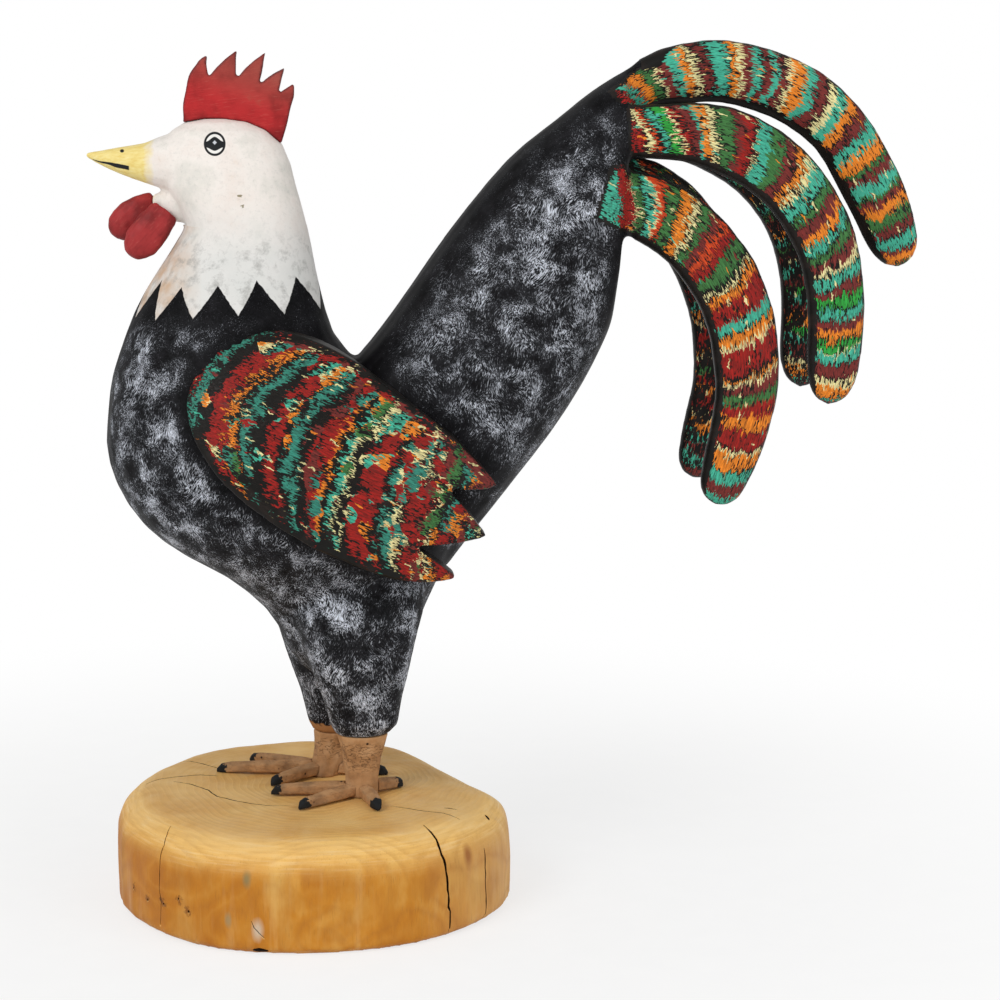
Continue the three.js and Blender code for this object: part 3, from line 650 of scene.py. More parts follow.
def in_tail(middle):
    """True where a place of the joined body and tail belongs to the tail block."""
    behind = middle.x > TAIL_LEAST_X and (middle - TAIL_JOINT_AT).dot(TAIL_JOINT_NORMAL) > 0
    return behind and past_root(middle) < BLENDED_ROOT


def in_head(middle):
    """True where a place of the joined neck and head belongs to the head."""
    return middle.z > NECK_JOINT_Z and middle.x < HEAD_MOST_X


def in_body(middle):
    """True where a place of the joined blocks belongs to the body."""
    return not in_tail(middle) and not in_head(middle) and past_root(middle) < 0


def add(tree, kind, links=None, out=0, stops=None, blend="LINEAR", **settings):
    """Adds one shader node with its settings, fills or links its inputs, and returns one of its outputs."""
    node = tree.nodes.new("ShaderNode" + kind)
    for name, value in settings.items():
        setattr(node, name, value)
    for name, value in (links or {}).items():
        socket = node.inputs[name]
        value = linear(value) if isinstance(value, str) else value
        if isinstance(value, bpy.types.NodeSocket):
            tree.links.new(value, socket)
        elif socket.type == "RGBA" and len(value) == 3:
            socket.default_value = (*value, 1)
        else:
            socket.default_value = value
    if stops:
        ramp = node.color_ramp
        ramp.interpolation = blend
        ramp.elements.remove(ramp.elements[1])
        for number, (position, shade) in enumerate(stops):
            stop = ramp.elements.new(position) if number else ramp.elements[0]
            stop.position = position
            stop.color = (*(linear(shade) if isinstance(shade, str) else shade), 1)
    return node.outputs[out] if node.outputs else node


def finish_of(name, **sockets):
    """A new material with one surface shader, and its node tree."""
    material = bpy.data.materials.new(name)
    material.use_nodes = True
    tree = material.node_tree
    tree.nodes.clear()
    surface = add(tree, "BsdfPrincipled", {key.replace("_", " "): value for key, value in sockets.items()})
    add(tree, "OutputMaterial", {"Surface": surface})
    return material, tree, surface.node


def coat(tree, surface, shade, field, roughness, height, depth, span=(0.3, 0.7)):
    """Links a finish's colour, its roughness over the span of a field, and its fine relief to its shader."""
    reach = {"From Min": span[0], "From Max": span[1], "To Min": roughness[0], "To Max": roughness[1]}
    tree.links.new(shade, surface.inputs["Base Color"])
    tree.links.new(add(tree, "MapRange", {"Value": field, **reach}), surface.inputs["Roughness"])
    relief = add(tree, "Bump", {"Height": height, "Distance": depth, "Strength": 1.0})
    tree.links.new(relief, surface.inputs["Normal"])


def painted_over(tree, under, over, field, low=0.0, high=1.0, most=1.0, within=()):
    """A coat that covers up to most of another as a field goes from low to high, within other fields."""
    share = add(tree, "MapRange", {"Value": field, "From Min": low, "From Max": high, "To Max": most})
    for limit in within:
        share = add(tree, "Math", {0: share, 1: limit}, operation="MULTIPLY")
    return add(tree, "Mix", {SHARE: share, UNDER: under, OVER: over}, out=MIXED, data_type="RGBA")


def streaks(tree, place, size, detail, roughness=0.5, turn=(0, 0, 0), out=0):
    """Soft noise drawn out to a size in mm along x, y and z."""
    stretch = {"Vector": place, "Rotation": turn, "Scale": [s * MM for s in size]}
    drawn = add(tree, "Mapping", stretch, vector_type="TEXTURE")
    noise = {"Vector": drawn, "Scale": 1, "Detail": detail, "Roughness": roughness}
    return add(tree, "TexNoise", noise, out=out)


def cells(tree, place, size):
    """Uneven cells of a size in mm: the distance from each one's middle, and three draws for each one."""
    drawn = add(tree, "Mapping", {"Vector": place, "Scale": [s * MM for s in size]}, vector_type="TEXTURE")
    away = add(tree, "TexVoronoi", {"Vector": drawn, "Scale": 1}, out="Distance")
    return away, add(tree, "SeparateColor", {"Color": away.node.outputs["Color"]}).node.outputs


def from_spot(tree, place, at, half):
    """Distance of places from a spot in space or in a profile, in the half sizes of an oval round it."""
    flat = [0] * (3 - len(at))
    off = add(tree, "VectorMath", {0: place, 1: [*at, *flat]}, operation="SUBTRACT")
    off = add(tree, "VectorMath", {0: off, 1: [1 / h for h in half] + flat}, operation="MULTIPLY")
    return add(tree, "VectorMath", {0: off}, out="Value", operation="LENGTH")


def object_place(tree):
    """Places on the object in metres, with x, y and z apart in mm."""
    place = add(tree, "TexCoord", out="Object")
    in_mm = add(tree, "VectorMath", {0: place, 1: (1 / MM,) * 3}, operation="MULTIPLY")
    return place, add(tree, "SeparateXYZ", {"Vector": in_mm}).node.outputs


def white_coat(tree, place, z, colours):
    """Thin white acrylic on bare wood: stains a few centimetres wide show through, cooler low on the neck."""
    stain = add(tree, "TexNoise", {"Vector": place, "Scale": 1 / 0.026, "Detail": 5, "Roughness": 0.62})
    stops = [(0.26, "#D6D5CE"), (0.42, "#E6E1D9"), (0.52, colours.white)]
    stops += [(0.64, "#ECE2DA"), (0.78, "#E0CBB4")]
    tint = add(tree, "ValToRGB", {"Fac": stain}, stops=stops)
    speck = add(tree, "TexNoise", {"Vector": place, "Scale": 1 / 0.0022, "Detail": 3, "Roughness": 0.7})
    tint = painted_over(tree, tint, "#8E918C", speck, 0.52, 0.8, most=0.24)
    return painted_over(tree, tint, "#D9DAD8", z, *NECK_COOLER_Z, most=0.75), stain


def charcoal_coat(tree, place, colours):
    """Charcoal acrylic, dry-brushed with bluish white: hair lines 0.5 by 3 mm in smudges 12 to 25 mm wide."""
    wander = add(tree, "TexNoise", {"Vector": place, "Scale": 1 / 0.018, "Detail": 1}, out="Color")
    bent = add(tree, "VectorMath", {0: wander, 1: (0.011,) * 3, 2: place}, operation="MULTIPLY_ADD")
    marks = [streaks(tree, bent, size, 4, 0.68, turn=(0.2, turn, 0)) for turn, size in HAIR_LINES]
    swap = add(tree, "TexNoise", {"Vector": place, "Scale": 1 / 0.02, "Detail": 1})
    swap = add(tree, "MapRange", {"Value": swap, "From Min": 0.44, "From Max": 0.56})
    mark = add(tree, "Mix", {SHARE: swap, ONE: marks[0], OTHER: marks[1]}, data_type="FLOAT")
    cloud = add(tree, "TexNoise", {"Vector": bent, "Scale": 1 / 0.017, "Detail": 5, "Roughness": 0.68})
    cloud = add(tree, "MapRange", {"Value": cloud, "From Min": 0.31, "From Max": 0.64})
    bare = add(tree, "Attribute", out="Fac", attribute_name="bare")
    reach = add(tree, "Math", {0: cloud, 1: bare}, operation="MULTIPLY")
    # Hair lines of nearly dry paint, and a thin film of it in the middle of each smudge.
    least = add(tree, "MapRange", {"Value": reach, "To Min": 0.65, "To Max": 0.43})
    line = add(tree, "Math", {0: mark, 1: least}, operation="SUBTRACT")
    line = add(tree, "MapRange", {"Value": line, "From Max": 0.1})
    weight = add(tree, "MapRange", {"Value": reach, "To Min": 0.25, "To Max": 1.0})
    line = add(tree, "Math", {0: line, 1: weight}, operation="MULTIPLY")
    middle = {"Value": mark, "From Min": 0.4, "From Max": 0.64}
    film = add(tree, "MapRange", {**middle, "To Min": 0.004, "To Max": 0.1})
    film = add(tree, "Math", {0: film, 1: reach}, operation="MULTIPLY")
    share = add(tree, "Math", {0: line, 1: film}, operation="MAXIMUM")
    ground = add(tree, "TexNoise", {"Vector": place, "Scale": 1 / 0.012, "Detail": 4, "Roughness": 0.7})
    stops = [(0.3, "#060607"), (0.54, colours.charcoal), (0.8, "#212023")]
    ground = add(tree, "ValToRGB", {"Fac": ground}, stops=stops)
    return painted_over(tree, ground, colours.brushed, share), share


def body_finish(colours):
    """Acrylic on a carved block, charcoal with a white neck: satin, with dry brush marks that catch light."""
    material, tree, surface = finish_of(
        "acrylic_charcoal_dry_brushed", IOR=ACRYLIC_IOR, Specular_IOR_Level=MATT
    )
    place, (x, y, z) = object_place(tree)
    dark, share = charcoal_coat(tree, place, colours)
    pale, stain = white_coat(tree, place, z, colours)
    # The throat's tan under the wattles: a tan wash and painted shade.
    tan_and_shade = add(tree, "TexNoise", {"Vector": place, "Scale": 1 / 0.014, "Detail": 3})
    front = add(tree, "MapRange", {"Value": x, "From Min": THROAT_TAN_AND_SHADE_X[0], "From Max": THROAT_TAN_AND_SHADE_X[1]})
    pale = painted_over(tree, pale, "#C9A480", tan_and_shade, 0.3, 0.6, most=0.8, within=(front,))
    # Grey smudges in the white over the collar.
    smudge = add(tree, "TexNoise", {"Vector": place, "Scale": 1 / 0.008, "Detail": 6, "Roughness": 0.72})
    low = {"Value": z, "From Min": COLLAR_SMUDGE_Z[0], "From Max": COLLAR_SMUDGE_Z[1], "To Max": 0.62}
    low = add(tree, "MapRange", low)
    pale = painted_over(tree, pale, "#8F8E8A", smudge, 0.49, 0.68, within=(low,))
    # Teeth of the collar: a level between the low and high points against a phase that goes up by 1 a tooth.
    phase = add(tree, "Attribute", out="Fac", attribute_name="collar_phase")
    level = add(tree, "Attribute", out="Fac", attribute_name="collar_level")
    tooth = add(tree, "Math", {0: phase, 1: 0.5}, operation="PINGPONG")
    tooth = add(tree, "MapRange", {"Value": tooth, "From Max": 0.5, "To Min": 1.0, "To Max": 0.0})
    ragged = add(tree, "TexNoise", {"Vector": place, "Scale": 1 / 0.003, "Detail": 2})
    ragged = add(tree, "MapRange", {"Value": ragged, "To Min": -0.06, "To Max": 0.06})
    edge = add(tree, "Math", {0: level, 1: ragged}, operation="ADD")
    above = add(tree, "Math", {0: edge, 1: tooth}, operation="SUBTRACT")
    shade = painted_over(tree, dark, pale, above, -0.015, 0.015)
    # The far thigh's bare wood rim under the paint's ragged edge.
    rim = add(tree, "TexNoise", {"Vector": place, "Scale": 1 / 0.005, "Detail": 2})
    rim = add(tree, "Math", {0: rim, 1: 6.0, 2: z}, operation="MULTIPLY_ADD")
    far = add(tree, "MapRange", {"Value": y, "From Min": FAR_SIDE_Y[0], "From Max": FAR_SIDE_Y[1]})
    shade = painted_over(tree, shade, "#A9794E", rim, *FAR_THIGH_RIM_Z, within=(far,))
    coat(tree, surface, shade, stain, (0.44, 0.6), height=share, depth=0.12 * MM)
    return material


def tail_finish(colours):
    """The body's charcoal acrylic and dry brush marks, carried up the tail block."""
    material, tree, surface = finish_of("acrylic_charcoal_tail", IOR=ACRYLIC_IOR, Specular_IOR_Level=MATT)
    shade, share = charcoal_coat(tree, add(tree, "TexCoord", out="Object"), colours)
    coat(tree, surface, shade, share, (0.46, 0.6), height=share, depth=0.12 * MM, span=(0, 1))
    return material


def beak_coat(tree, shade, place, x, colours):
    """Yellow acrylic on the beak, streaked along it, with a soft brushed edge."""
    soft = add(tree, "TexNoise", {"Vector": place, "Scale": 1 / 0.006, "Detail": 3})
    edge = add(tree, "Math", {0: soft, 1: 8.0, 2: x}, operation="MULTIPLY_ADD")
    stops = [(0.3, "#E8CD78"), (0.55, colours.beak), (0.8, "#F4E4A2")]
    yellow = add(tree, "ValToRGB", {"Fac": streaks(tree, place, (12, 1.5, 1.5), 2)}, stops=stops)
    return painted_over(tree, shade, yellow, edge, *[BEAK_REAR_X + margin for margin in BEAK_EDGE])


def painted_eye(tree, shade, profile, x, z, colours):
    """The eye in black paint: a ring, and in it a dark lens that swells round a pale diamond."""
    oval = from_spot(tree, profile, EYE_AT, EYE_HALF)
    right = add(tree, "Math", {0: x, 1: EYE_AT[0]}, operation="SUBTRACT")
    up = add(tree, "Math", {0: z, 1: EYE_AT[1]}, operation="SUBTRACT")
    inner = 1 - EYE_LINE_SHARE
    ring = add(tree, "MapRange", {"Value": oval, "From Min": inner - EYE_SOFT, "From Max": inner + EYE_SOFT})
    aside = add(tree, "Math", {0: right}, operation="ABSOLUTE")
    hump = {"Value": aside, "From Max": LENS_SWELLING, "To Min": 1.0, "To Max": 0.0}
    hump = add(tree, "MapRange", hump, interpolation_type="SMOOTHSTEP")
    over = add(tree, "Math", {0: hump, 1: LENS_OVER[0], 2: LENS_OVER[1]}, operation="MULTIPLY_ADD")
    under = add(tree, "Math", {0: hump, 1: LENS_UNDER[0], 2: LENS_UNDER[1]}, operation="MULTIPLY_ADD")
    over = add(tree, "Math", {0: over, 1: up}, operation="SUBTRACT")
    under = add(tree, "Math", {0: under, 1: up}, operation="ADD")
    lens = add(tree, "Math", {0: over, 1: under}, operation="MINIMUM")
    lens = add(tree, "MapRange", {"Value": lens, "From Min": -LENS_SOFT, "From Max": LENS_SOFT})
    line = add(tree, "Math", {0: ring, 1: lens}, operation="MAXIMUM")
    rise = add(tree, "Math", {0: up, 1: SPARK_UP}, operation="SUBTRACT")
    rise = add(tree, "Math", {0: rise}, operation="ABSOLUTE")
    diamond = add(tree, "Math", {0: aside, 1: rise}, operation="ADD")
    eye = painted_over(tree, "#EDEBE6", colours.claw, line)
    eye = painted_over(tree, eye, "#C9CDD3", diamond, *SPARK_SIZE)
    return painted_over(tree, shade, eye, oval, 1 + EYE_SOFT, 1 - EYE_SOFT)


def painted_mouth(tree, shade, place, profile, x, z, colours):
    """The mouth line in black paint, thin in front and thick at the rear, and the nostril's tick."""
    wobble = add(tree, "TexNoise", {"Vector": place, "Scale": 1 / 0.008, "Detail": 1})
    wobble = add(tree, "MapRange", {"Value": wobble, "To Min": -MOUTH_WOBBLE, "To Max": MOUTH_WOBBLE})
    (front, front_z), (rear, rear_z) = MOUTH_FRONT, MOUTH_REAR
    back = {"Value": x, "From Min": front}
    middle = add(tree, "MapRange", {**back, "From Max": rear, "To Min": front_z, "To Max": rear_z})
    middle = add(tree, "Math", {0: middle, 1: wobble}, operation="ADD")
    off = add(tree, "Math", {0: z, 1: middle}, operation="SUBTRACT")
    off = add(tree, "Math", {0: off}, operation="ABSOLUTE")
    thin, thick = MOUTH_HALF
    half = add(tree, "MapRange", {**back, "From Max": MOUTH_THICK_X, "To Min": thin, "To Max": thick})
    line = add(tree, "Math", {0: half, 1: off}, operation="SUBTRACT")
    ends = []
    for limit, inward in ((front - MOUTH_END, MOUTH_END_SOFT), (rear + MOUTH_END, -MOUTH_END_SOFT)):
        ends.append(add(tree, "MapRange", {"Value": x, "From Min": limit, "From Max": limit + inward}))
    shade = painted_over(tree, shade, colours.claw, line, -MOUTH_SOFT, MOUTH_SOFT, within=ends)
    tick = from_spot(tree, profile, NOSTRIL_AT, NOSTRIL_HALF)
    return painted_over(tree, shade, colours.claw, tick, *NOSTRIL_EDGE)


def head_finish(colours):
    """White acrylic on sanded wood: soft stains, a brushed yellow beak, an eye and a mouth in black paint."""
    material, tree, surface = finish_of("acrylic_white_head", IOR=ACRYLIC_IOR, Specular_IOR_Level=DULL)
    place, (x, _, z) = object_place(tree)
    profile = add(tree, "CombineXYZ", {"X": x, "Y": z})
    shade, stain = white_coat(tree, place, z, colours)
    shade = beak_coat(tree, shade, place, x, colours)
    shade = painted_eye(tree, shade, profile, x, z, colours)
    shade = painted_mouth(tree, shade, place, profile, x, z, colours)
    # Two chips in the cheek's white, with ragged outlines.
    ragged = add(tree, "TexNoise", {"Vector": place, "Scale": 1 / 0.0016, "Detail": 3}, out="Color")
    ragged = add(tree, "VectorMath", {0: ragged, 1: (CHIP_RAGGED,) * 3, 2: profile}, operation="MULTIPLY_ADD")
    for at in CHEEK_CHIPS:
        chip = from_spot(tree, ragged, [a + CHIP_RAGGED / 2 for a in at], CHIP_HALF)
        shade = painted_over(tree, shade, "#6E6432", chip, 0.8, 0.5, most=0.8)
    coat(tree, surface, shade, stain, (0.48, 0.62), height=stain, depth=0.25 * MM)
    return material


def red_finish(name, base, size, turn):
    """Red acrylic brushed on thin wood: long paler strokes, and a dark rim: dark paint with painted shade on
    the comb's edges, painted shade under and behind the wattles.
    """
    material, tree, surface = finish_of(name, IOR=ACRYLIC_IOR, Specular_IOR_Level=DULL)
    place = add(tree, "TexCoord", out="Object")
    stroke = streaks(tree, place, size, 3, 0.6, turn=(0, turn, 0))
    cloud = add(tree, "TexNoise", {"Vector": place, "Scale": 1 / 0.016, "Detail": 3})
    dark, light = [0.55 * c for c in base], [1.15 * c for c in base]
    stops = [(0.32, dark), (0.48, base), (0.62, light), (0.72, "#A8483C")]
    tone = add(tree, "ValToRGB", {"Fac": cloud}, stops=stops)
    tone = painted_over(tree, tone, "#C86A5E", stroke, 0.57, 0.75, most=0.36)
    tone = painted_over(tree, tone, dark, stroke, 0.44, 0.26, most=0.4)
    worn = add(tree, "Attribute", out="Fac", attribute_name="worn")
    tone = painted_over(tree, tone, "#8E5A4C", worn, within=(cloud,))
    # The rim is dark paint and painted shade along the comb's edges, and painted shade under and behind the
    # wattles.
    rim = add(tree, "Attribute", out="Fac", attribute_name="rim")
    tone = painted_over(tree, tone, "#4A1B1E", rim, most=0.7)
    coat(tree, surface, tone, stroke, (0.4, 0.58), height=stroke, depth=0.2 * MM, span=(0, 1))
    return material


def painted_bands(tree, reach, bands, colours):
    """The colour of a row of bands at a distance in metres along it, with black in front of most bands."""
    total, edges = 0.0, []
    for number, band in enumerate(bands.split()):
        width, gap = float(band[1:]), BLACK_GAPS[number % len(BLACK_GAPS)]
        if gap and band[0] != "k":
            edges.append((total, colours.k))
        edges.append((total + gap * MM, getattr(colours, band[0])))
        total += width * MM
    share = add(tree, "Math", {0: reach, 1: 1 / total}, operation="MULTIPLY")
    shade = None
    for first in range(0, len(edges), RAMP_STOPS):
        stops = [(at / total, paint) for at, paint in edges[first : first + RAMP_STOPS]]
        row = add(tree, "ValToRGB", {"Fac": share}, stops=stops, blend="CONSTANT")
        if shade is not None:
            past = add(tree, "Math", {0: share, 1: stops[0][0]}, operation="GREATER_THAN")
            row = painted_over(tree, shade, row, past)
        shade = row
    return shade


def banded_finish(name, rows, colours, sizes, swing, dab_size, uneven, flecks, leanest):
    """Acrylic dabbed in rows over black: each band is a row of dabs with bristle ends and black between."""
    material, tree, surface = finish_of(name, IOR=ACRYLIC_IOR, Specular_IOR_Level=DULL)
    place = add(tree, "Attribute", out="Vector", attribute_name="stroke")
    cover = add(tree, "Attribute", out="Fac", attribute_name="cover")
    long, wide = sizes.mark_length / MM, sizes.mark_width / MM
    # Bristle marks, and dabs with uneven outlines.
    mark, fine, spike, hair = [
        streaks(tree, place, (a * long, b * wide, b * wide), detail)
        for a, b, detail in ((1.0, 1.0, 1), (0.55, 0.5, 1), (1.7, 0.5, 1), (1.5, 0.55, 2))
    ]
    wander = add(tree, "TexNoise", {"Vector": place, "Scale": 1 / 0.0035, "Detail": 2}, out="Color")
    bent = add(tree, "VectorMath", {0: wander, 1: (0.006, 0.005, 0), 2: place}, operation="MULTIPLY_ADD")
    _, draw = cells(tree, bent, (*dab_size, 90))
    slow = add(tree, "TexNoise", {"Vector": place, "Scale": 1 / 0.03, "Detail": 1})
    reach = add(tree, "SeparateXYZ", {"Vector": place})
    for noise, size in ((mark, 7), (fine, 3), (spike, 13), (draw[0], swing), (slow, 2 * swing)):
        shift = add(tree, "Math", {0: noise, 1: 0.5}, operation="SUBTRACT")
        reach = add(tree, "Math", {0: shift, 1: size * MM, 2: reach}, operation="MULTIPLY_ADD")
    shades = [painted_bands(tree, reach, row, colours) for row in rows]
    shade = shades[0]
    if len(rows) > 1:
        patch = add(tree, "Attribute", out="Fac", attribute_name="patch")
        choice = add(tree, "Math", {0: draw[1], 1: patch}, operation="LESS_THAN")
        shade = painted_over(tree, shade, shades[1], choice)
        hem = add(tree, "Attribute", out="Fac", attribute_name="hem")
        hem = add(tree, "Math", {0: fine, 1: 0.9, 2: hem}, operation="MULTIPLY_ADD")
        hem = add(tree, "Math", {0: hem, 1: 0.95}, operation="GREATER_THAN")
        shade = painted_over(tree, shade, shades[2], hem)
    # Each mark holds a little more or less paint.
    load = {"Value": fine, "From Min": 0.3, "From Max": 0.7, "To Min": 0.78, "To Max": 1.14}
    load = add(tree, "MapRange", load)
    shade = add(tree, "HueSaturation", {"Value": load, "Color": shade})
    # Loose flecks of other paints over the bands.
    fleck, pick = cells(tree, bent, (1.1 * long, 0.7 * wide, 20))
    lucky = add(tree, "Math", {0: pick[0], 1: flecks}, operation="LESS_THAN")
    stops = [(at, getattr(colours, paint)) for at, paint in FLECK_PAINTS]
    paint = add(tree, "ValToRGB", {"Fac": pick[1]}, stops=stops, blend="CONSTANT")
    shade = painted_over(tree, shade, paint, fleck, 0.5, 0.4, within=(lucky,))
    # Lean paint lets the ground show along the bristles.
    shade = painted_over(tree, shade, "#221C18", hair, 0.6, 0.36, most=leanest)
    # The black ground shows through thin marks and round the margins.
    thin = add(tree, "Math", {0: mark, 1: fine}, operation="ADD")
    thin = {"Value": thin, "From Min": 0.74, "From Max": 1.22, "To Min": -0.62, "To Max": 0.42}
    thin = add(tree, "MapRange", thin)
    loaded = add(tree, "MapRange", {"Value": draw[2], "To Min": -uneven, "To Max": uneven})
    thin = add(tree, "Math", {0: thin, 1: loaded}, operation="ADD")
    held = add(tree, "Math", {0: cover, 1: thin}, operation="ADD")
    held = add(tree, "MapRange", {"Value": held, "From Min": 0.42, "From Max": 0.6})
    tint = add(tree, "TexNoise", {"Vector": place, "Scale": 1 / 0.01, "Detail": 2})
    stops = [(0.44, colours.k), (0.68, "#241D1A"), (0.84, "#3C2527")]
    shade = painted_over(tree, add(tree, "ValToRGB", {"Fac": tint}, stops=stops), shade, held)
    height = add(tree, "Math", {0: held, 1: fine}, operation="MULTIPLY")
    coat(tree, surface, shade, held, (0.42, 0.52), height=height, depth=0.35 * MM, span=(0, 1))
    return material


def leg_finish(colours):
    """Brown acrylic on whittled sticks and filler: matt, with dark specks, dirt low down and black claws."""
    material, tree, surface = finish_of("acrylic_brown_whittled", IOR=ACRYLIC_IOR, Specular_IOR_Level=DULL)
    place, (_, _, z) = object_place(tree)
    cloud = add(tree, "TexNoise", {"Vector": place, "Scale": 1 / 0.011, "Detail": 4, "Roughness": 0.6})
    stops = [(0.3, "#906A48"), (0.5, colours.leg), (0.72, "#C49A70")]
    tone = add(tree, "ValToRGB", {"Fac": cloud}, stops=stops)
    dirt = add(tree, "TexNoise", {"Vector": place, "Scale": 1 / 0.013, "Detail": 3})
    low = add(tree, "MapRange", {"Value": z, "From Min": FOOT_DIRT_Z[0], "From Max": FOOT_DIRT_Z[1]})
    tone = painted_over(tree, tone, "#6F6353", dirt, 0.45, 0.7, most=0.6, within=(low,))
    speck, (pick, _, _) = cells(tree, place, (5.5, 5.5, 5.5))
    lucky = add(tree, "Math", {0: pick, 1: 0.8}, operation="GREATER_THAN")
    tone = painted_over(tree, tone, "#33261E", speck, 0.2, 0.12, within=(lucky,))
    # Dried filler on the shanks, with fine lying cracks.
    crack = streaks(tree, place, (6, 6, 2.2), 3, 0.6)
    crack = add(tree, "Math", {0: crack, 1: 0.5}, operation="SUBTRACT")
    crack = add(tree, "Math", {0: crack}, operation="ABSOLUTE")
    crack = add(tree, "MapRange", {"Value": crack, "From Min": 0.016, "From Max": 0.004, "To Max": 0.75})
    filler = add(tree, "Attribute", out="Fac", attribute_name="filler")
    crack = add(tree, "Math", {0: crack, 1: filler}, operation="MULTIPLY")
    tone = painted_over(tree, tone, "#4A3222", crack)
    claw = add(tree, "Attribute", out="Fac", attribute_name="claw")
    edge = add(tree, "TexNoise", {"Vector": place, "Scale": 1 / 0.002, "Detail": 1})
    edge = add(tree, "Math", {0: edge, 1: 0.8, 2: claw}, operation="MULTIPLY_ADD")
    tone = painted_over(tree, tone, colours.claw, edge, 0.85, 0.92)
    height = add(tree, "Math", {0: cloud, 1: crack}, operation="SUBTRACT")
    coat(tree, surface, tone, cloud, (0.55, 0.72), height=height, depth=0.4 * MM)
    return material


def log_finish(colours, sizes):
    """Sapwood of a light hardwood, sawn, sanded and oiled by handling: rings on top, streaks on the side."""
    material, tree, surface = finish_of("sanded_log_wood", IOR=WOOD_IOR, Specular_IOR_Level=DULL)
    place, (x, _, _) = object_place(tree)
    # Growth rings about the pith, which wander by several mm, more slowly along the trunk than round it.
    wander = streaks(tree, place, (70, 70, 160), 1.2, 0.4, out="Color")
    wander = add(tree, "VectorMath", {0: wander, 1: (0.05, 0.05, 0), 2: place}, operation="MULTIPLY_ADD")
    radius = from_spot(tree, wander, LOG_PITH, (1, 1, 1 / 0.12))
    ring = add(tree, "Math", {0: radius, 1: sizes.ring_width}, operation="DIVIDE")
    ring = add(tree, "Math", {0: ring}, operation="FRACT")
    late = {"Value": ring, "From Min": 0.3, "From Max": 0.85}
    late = add(tree, "MapRange", late, interpolation_type="SMOOTHSTEP")
    fall = add(tree, "MapRange", {"Value": ring, "From Min": 1.0, "From Max": 0.88})
    late = add(tree, "Math", {0: late, 1: fall}, operation="MULTIPLY")
    # Broad patches, upright streaks about 4 mm wide and pores 0.6 mm wide, drawn coarser than the wood's own.
    patch = streaks(tree, place, (30, 30, 60), 4, 0.6)
    streak = streaks(tree, place, (9, 9, 90), 3, 0.6)
    pore = streaks(tree, place, (0.6, 0.6, 10), 2)
    stops = [(0.3, colours.amber), (0.5, colours.honey), (0.7, colours.pale)]
    tone = add(tree, "ValToRGB", {"Fac": patch}, stops=stops)
    # The side is painted darker and more amber to the left as painted shade, and paler to the right as painted
    # light.
    tone = painted_over(tree, tone, colours.amber, x, *LOG_SHADE_LEFT_X, most=0.6)
    tone = painted_over(tree, tone, "#DDB67A", x, *LOG_LIGHT_RIGHT_X, most=0.5)
    shoulder = add(tree, "Attribute", out="Fac", attribute_name="shoulder")
    # The shoulder, which faces up, is painted lighter: painted light.
    tone = painted_over(tree, tone, "#FFD07A", shoulder, most=0.74)
    faint = {"Value": patch, "From Min": 0.34, "From Max": 0.66, "To Min": 0.04, "To Max": 0.24}
    tone = painted_over(tree, tone, "#A56C2A", late, within=(add(tree, "MapRange", faint),))
    # Fine lying lines where the shoulder was rasped across the grain.
    rasp = streaks(tree, place, (30, 30, 1.4), 3, 0.6)
    for low, high, shade in ((0.5, 0.72, "#B57A34"), (0.5, 0.28, "#FFE9BC")):
        tone = painted_over(tree, tone, shade, rasp, low, high, most=0.34, within=(shoulder,))
    # Arched figure where the side cuts slantwise through the rings: loops a few centimetres wide.
    figure = streaks(tree, place, (75, 75, 50), 1.5, 0.45)
    figure = add(tree, "Math", {0: figure, 1: 8.0, 2: streak}, operation="MULTIPLY_ADD")
    figure = add(tree, "Math", {0: figure, 1: 0.5}, operation="PINGPONG")
    side = add(tree, "MapRange", {"Value": shoulder, "From Max": 0.6, "To Min": 1.0, "To Max": 0.0})
    for low, high, most, shade in ((0.22, 0.5, 0.24, "#A4652A"), (0.2, 0.0, 0.14, "#DDA650")):
        tone = painted_over(tree, tone, shade, figure, low, high, most, within=(side,))
    tone = painted_over(tree, tone, "#A0662C", streak, 0.54, 0.78, most=0.18)
    tone = painted_over(tree, tone, "#E8CD9A", streak, 0.46, 0.25, most=0.14)
    tone = painted_over(tree, tone, "#8A5A2A", pore, 0.6, 0.75, most=0.3)
    # The sawn top is painted paler in uneven patches: worn wood, and painted light on the face turned up.
    top = add(tree, "Attribute", out="Fac", attribute_name="top")
    worn = add(tree, "TexNoise", {"Vector": place, "Scale": 1 / 0.025, "Detail": 4})
    worn = {"Value": worn, "From Min": 0.3, "From Max": 0.7, "To Min": 0.2, "To Max": 0.7}
    tone = painted_over(tree, tone, "#F2CB88", top, within=(add(tree, "MapRange", worn),))
    # Inside the cracks and beetle holes the wood is painted near black: dirt, and painted shade in the
    # hollows.
    grime = add(tree, "Attribute", out="Fac", attribute_name="grime")
    tone = painted_over(tree, tone, "#2A1B10", grime)
    for at, size, stain in LOG_MARKS:
        half = [size * MM, size * MM, size * MM / LOG_MARK_WIDTH_SHARE]
        off = from_spot(tree, place, [a * MM for a in at], half)
        off = add(tree, "Math", {0: streak, 1: 0.8, 2: off}, operation="MULTIPLY_ADD")
        tone = painted_over(tree, tone, stain, off, 1.4, 0.7, most=0.7)
    # Brown borings round the beetle holes.
    crumb = add(tree, "TexNoise", {"Vector": place, "Scale": 1 / 0.0022, "Detail": 3, "Roughness": 0.7})
    for at in BEETLE_HOLES:
        off = from_spot(tree, place, [a * MM for a in at], [DUST_RADIUS] * 3)
        off = add(tree, "Math", {0: crumb, 1: 1.7, 2: off}, operation="MULTIPLY_ADD")
        tone = painted_over(tree, tone, "#7A4A20", off, 1.3, 1.0, most=0.75)
    height = add(tree, "Math", {0: late, 1: pore}, operation="ADD")
    coat(tree, surface, tone, streak, (0.42, 0.6), height=height, depth=0.12 * MM)
    return material


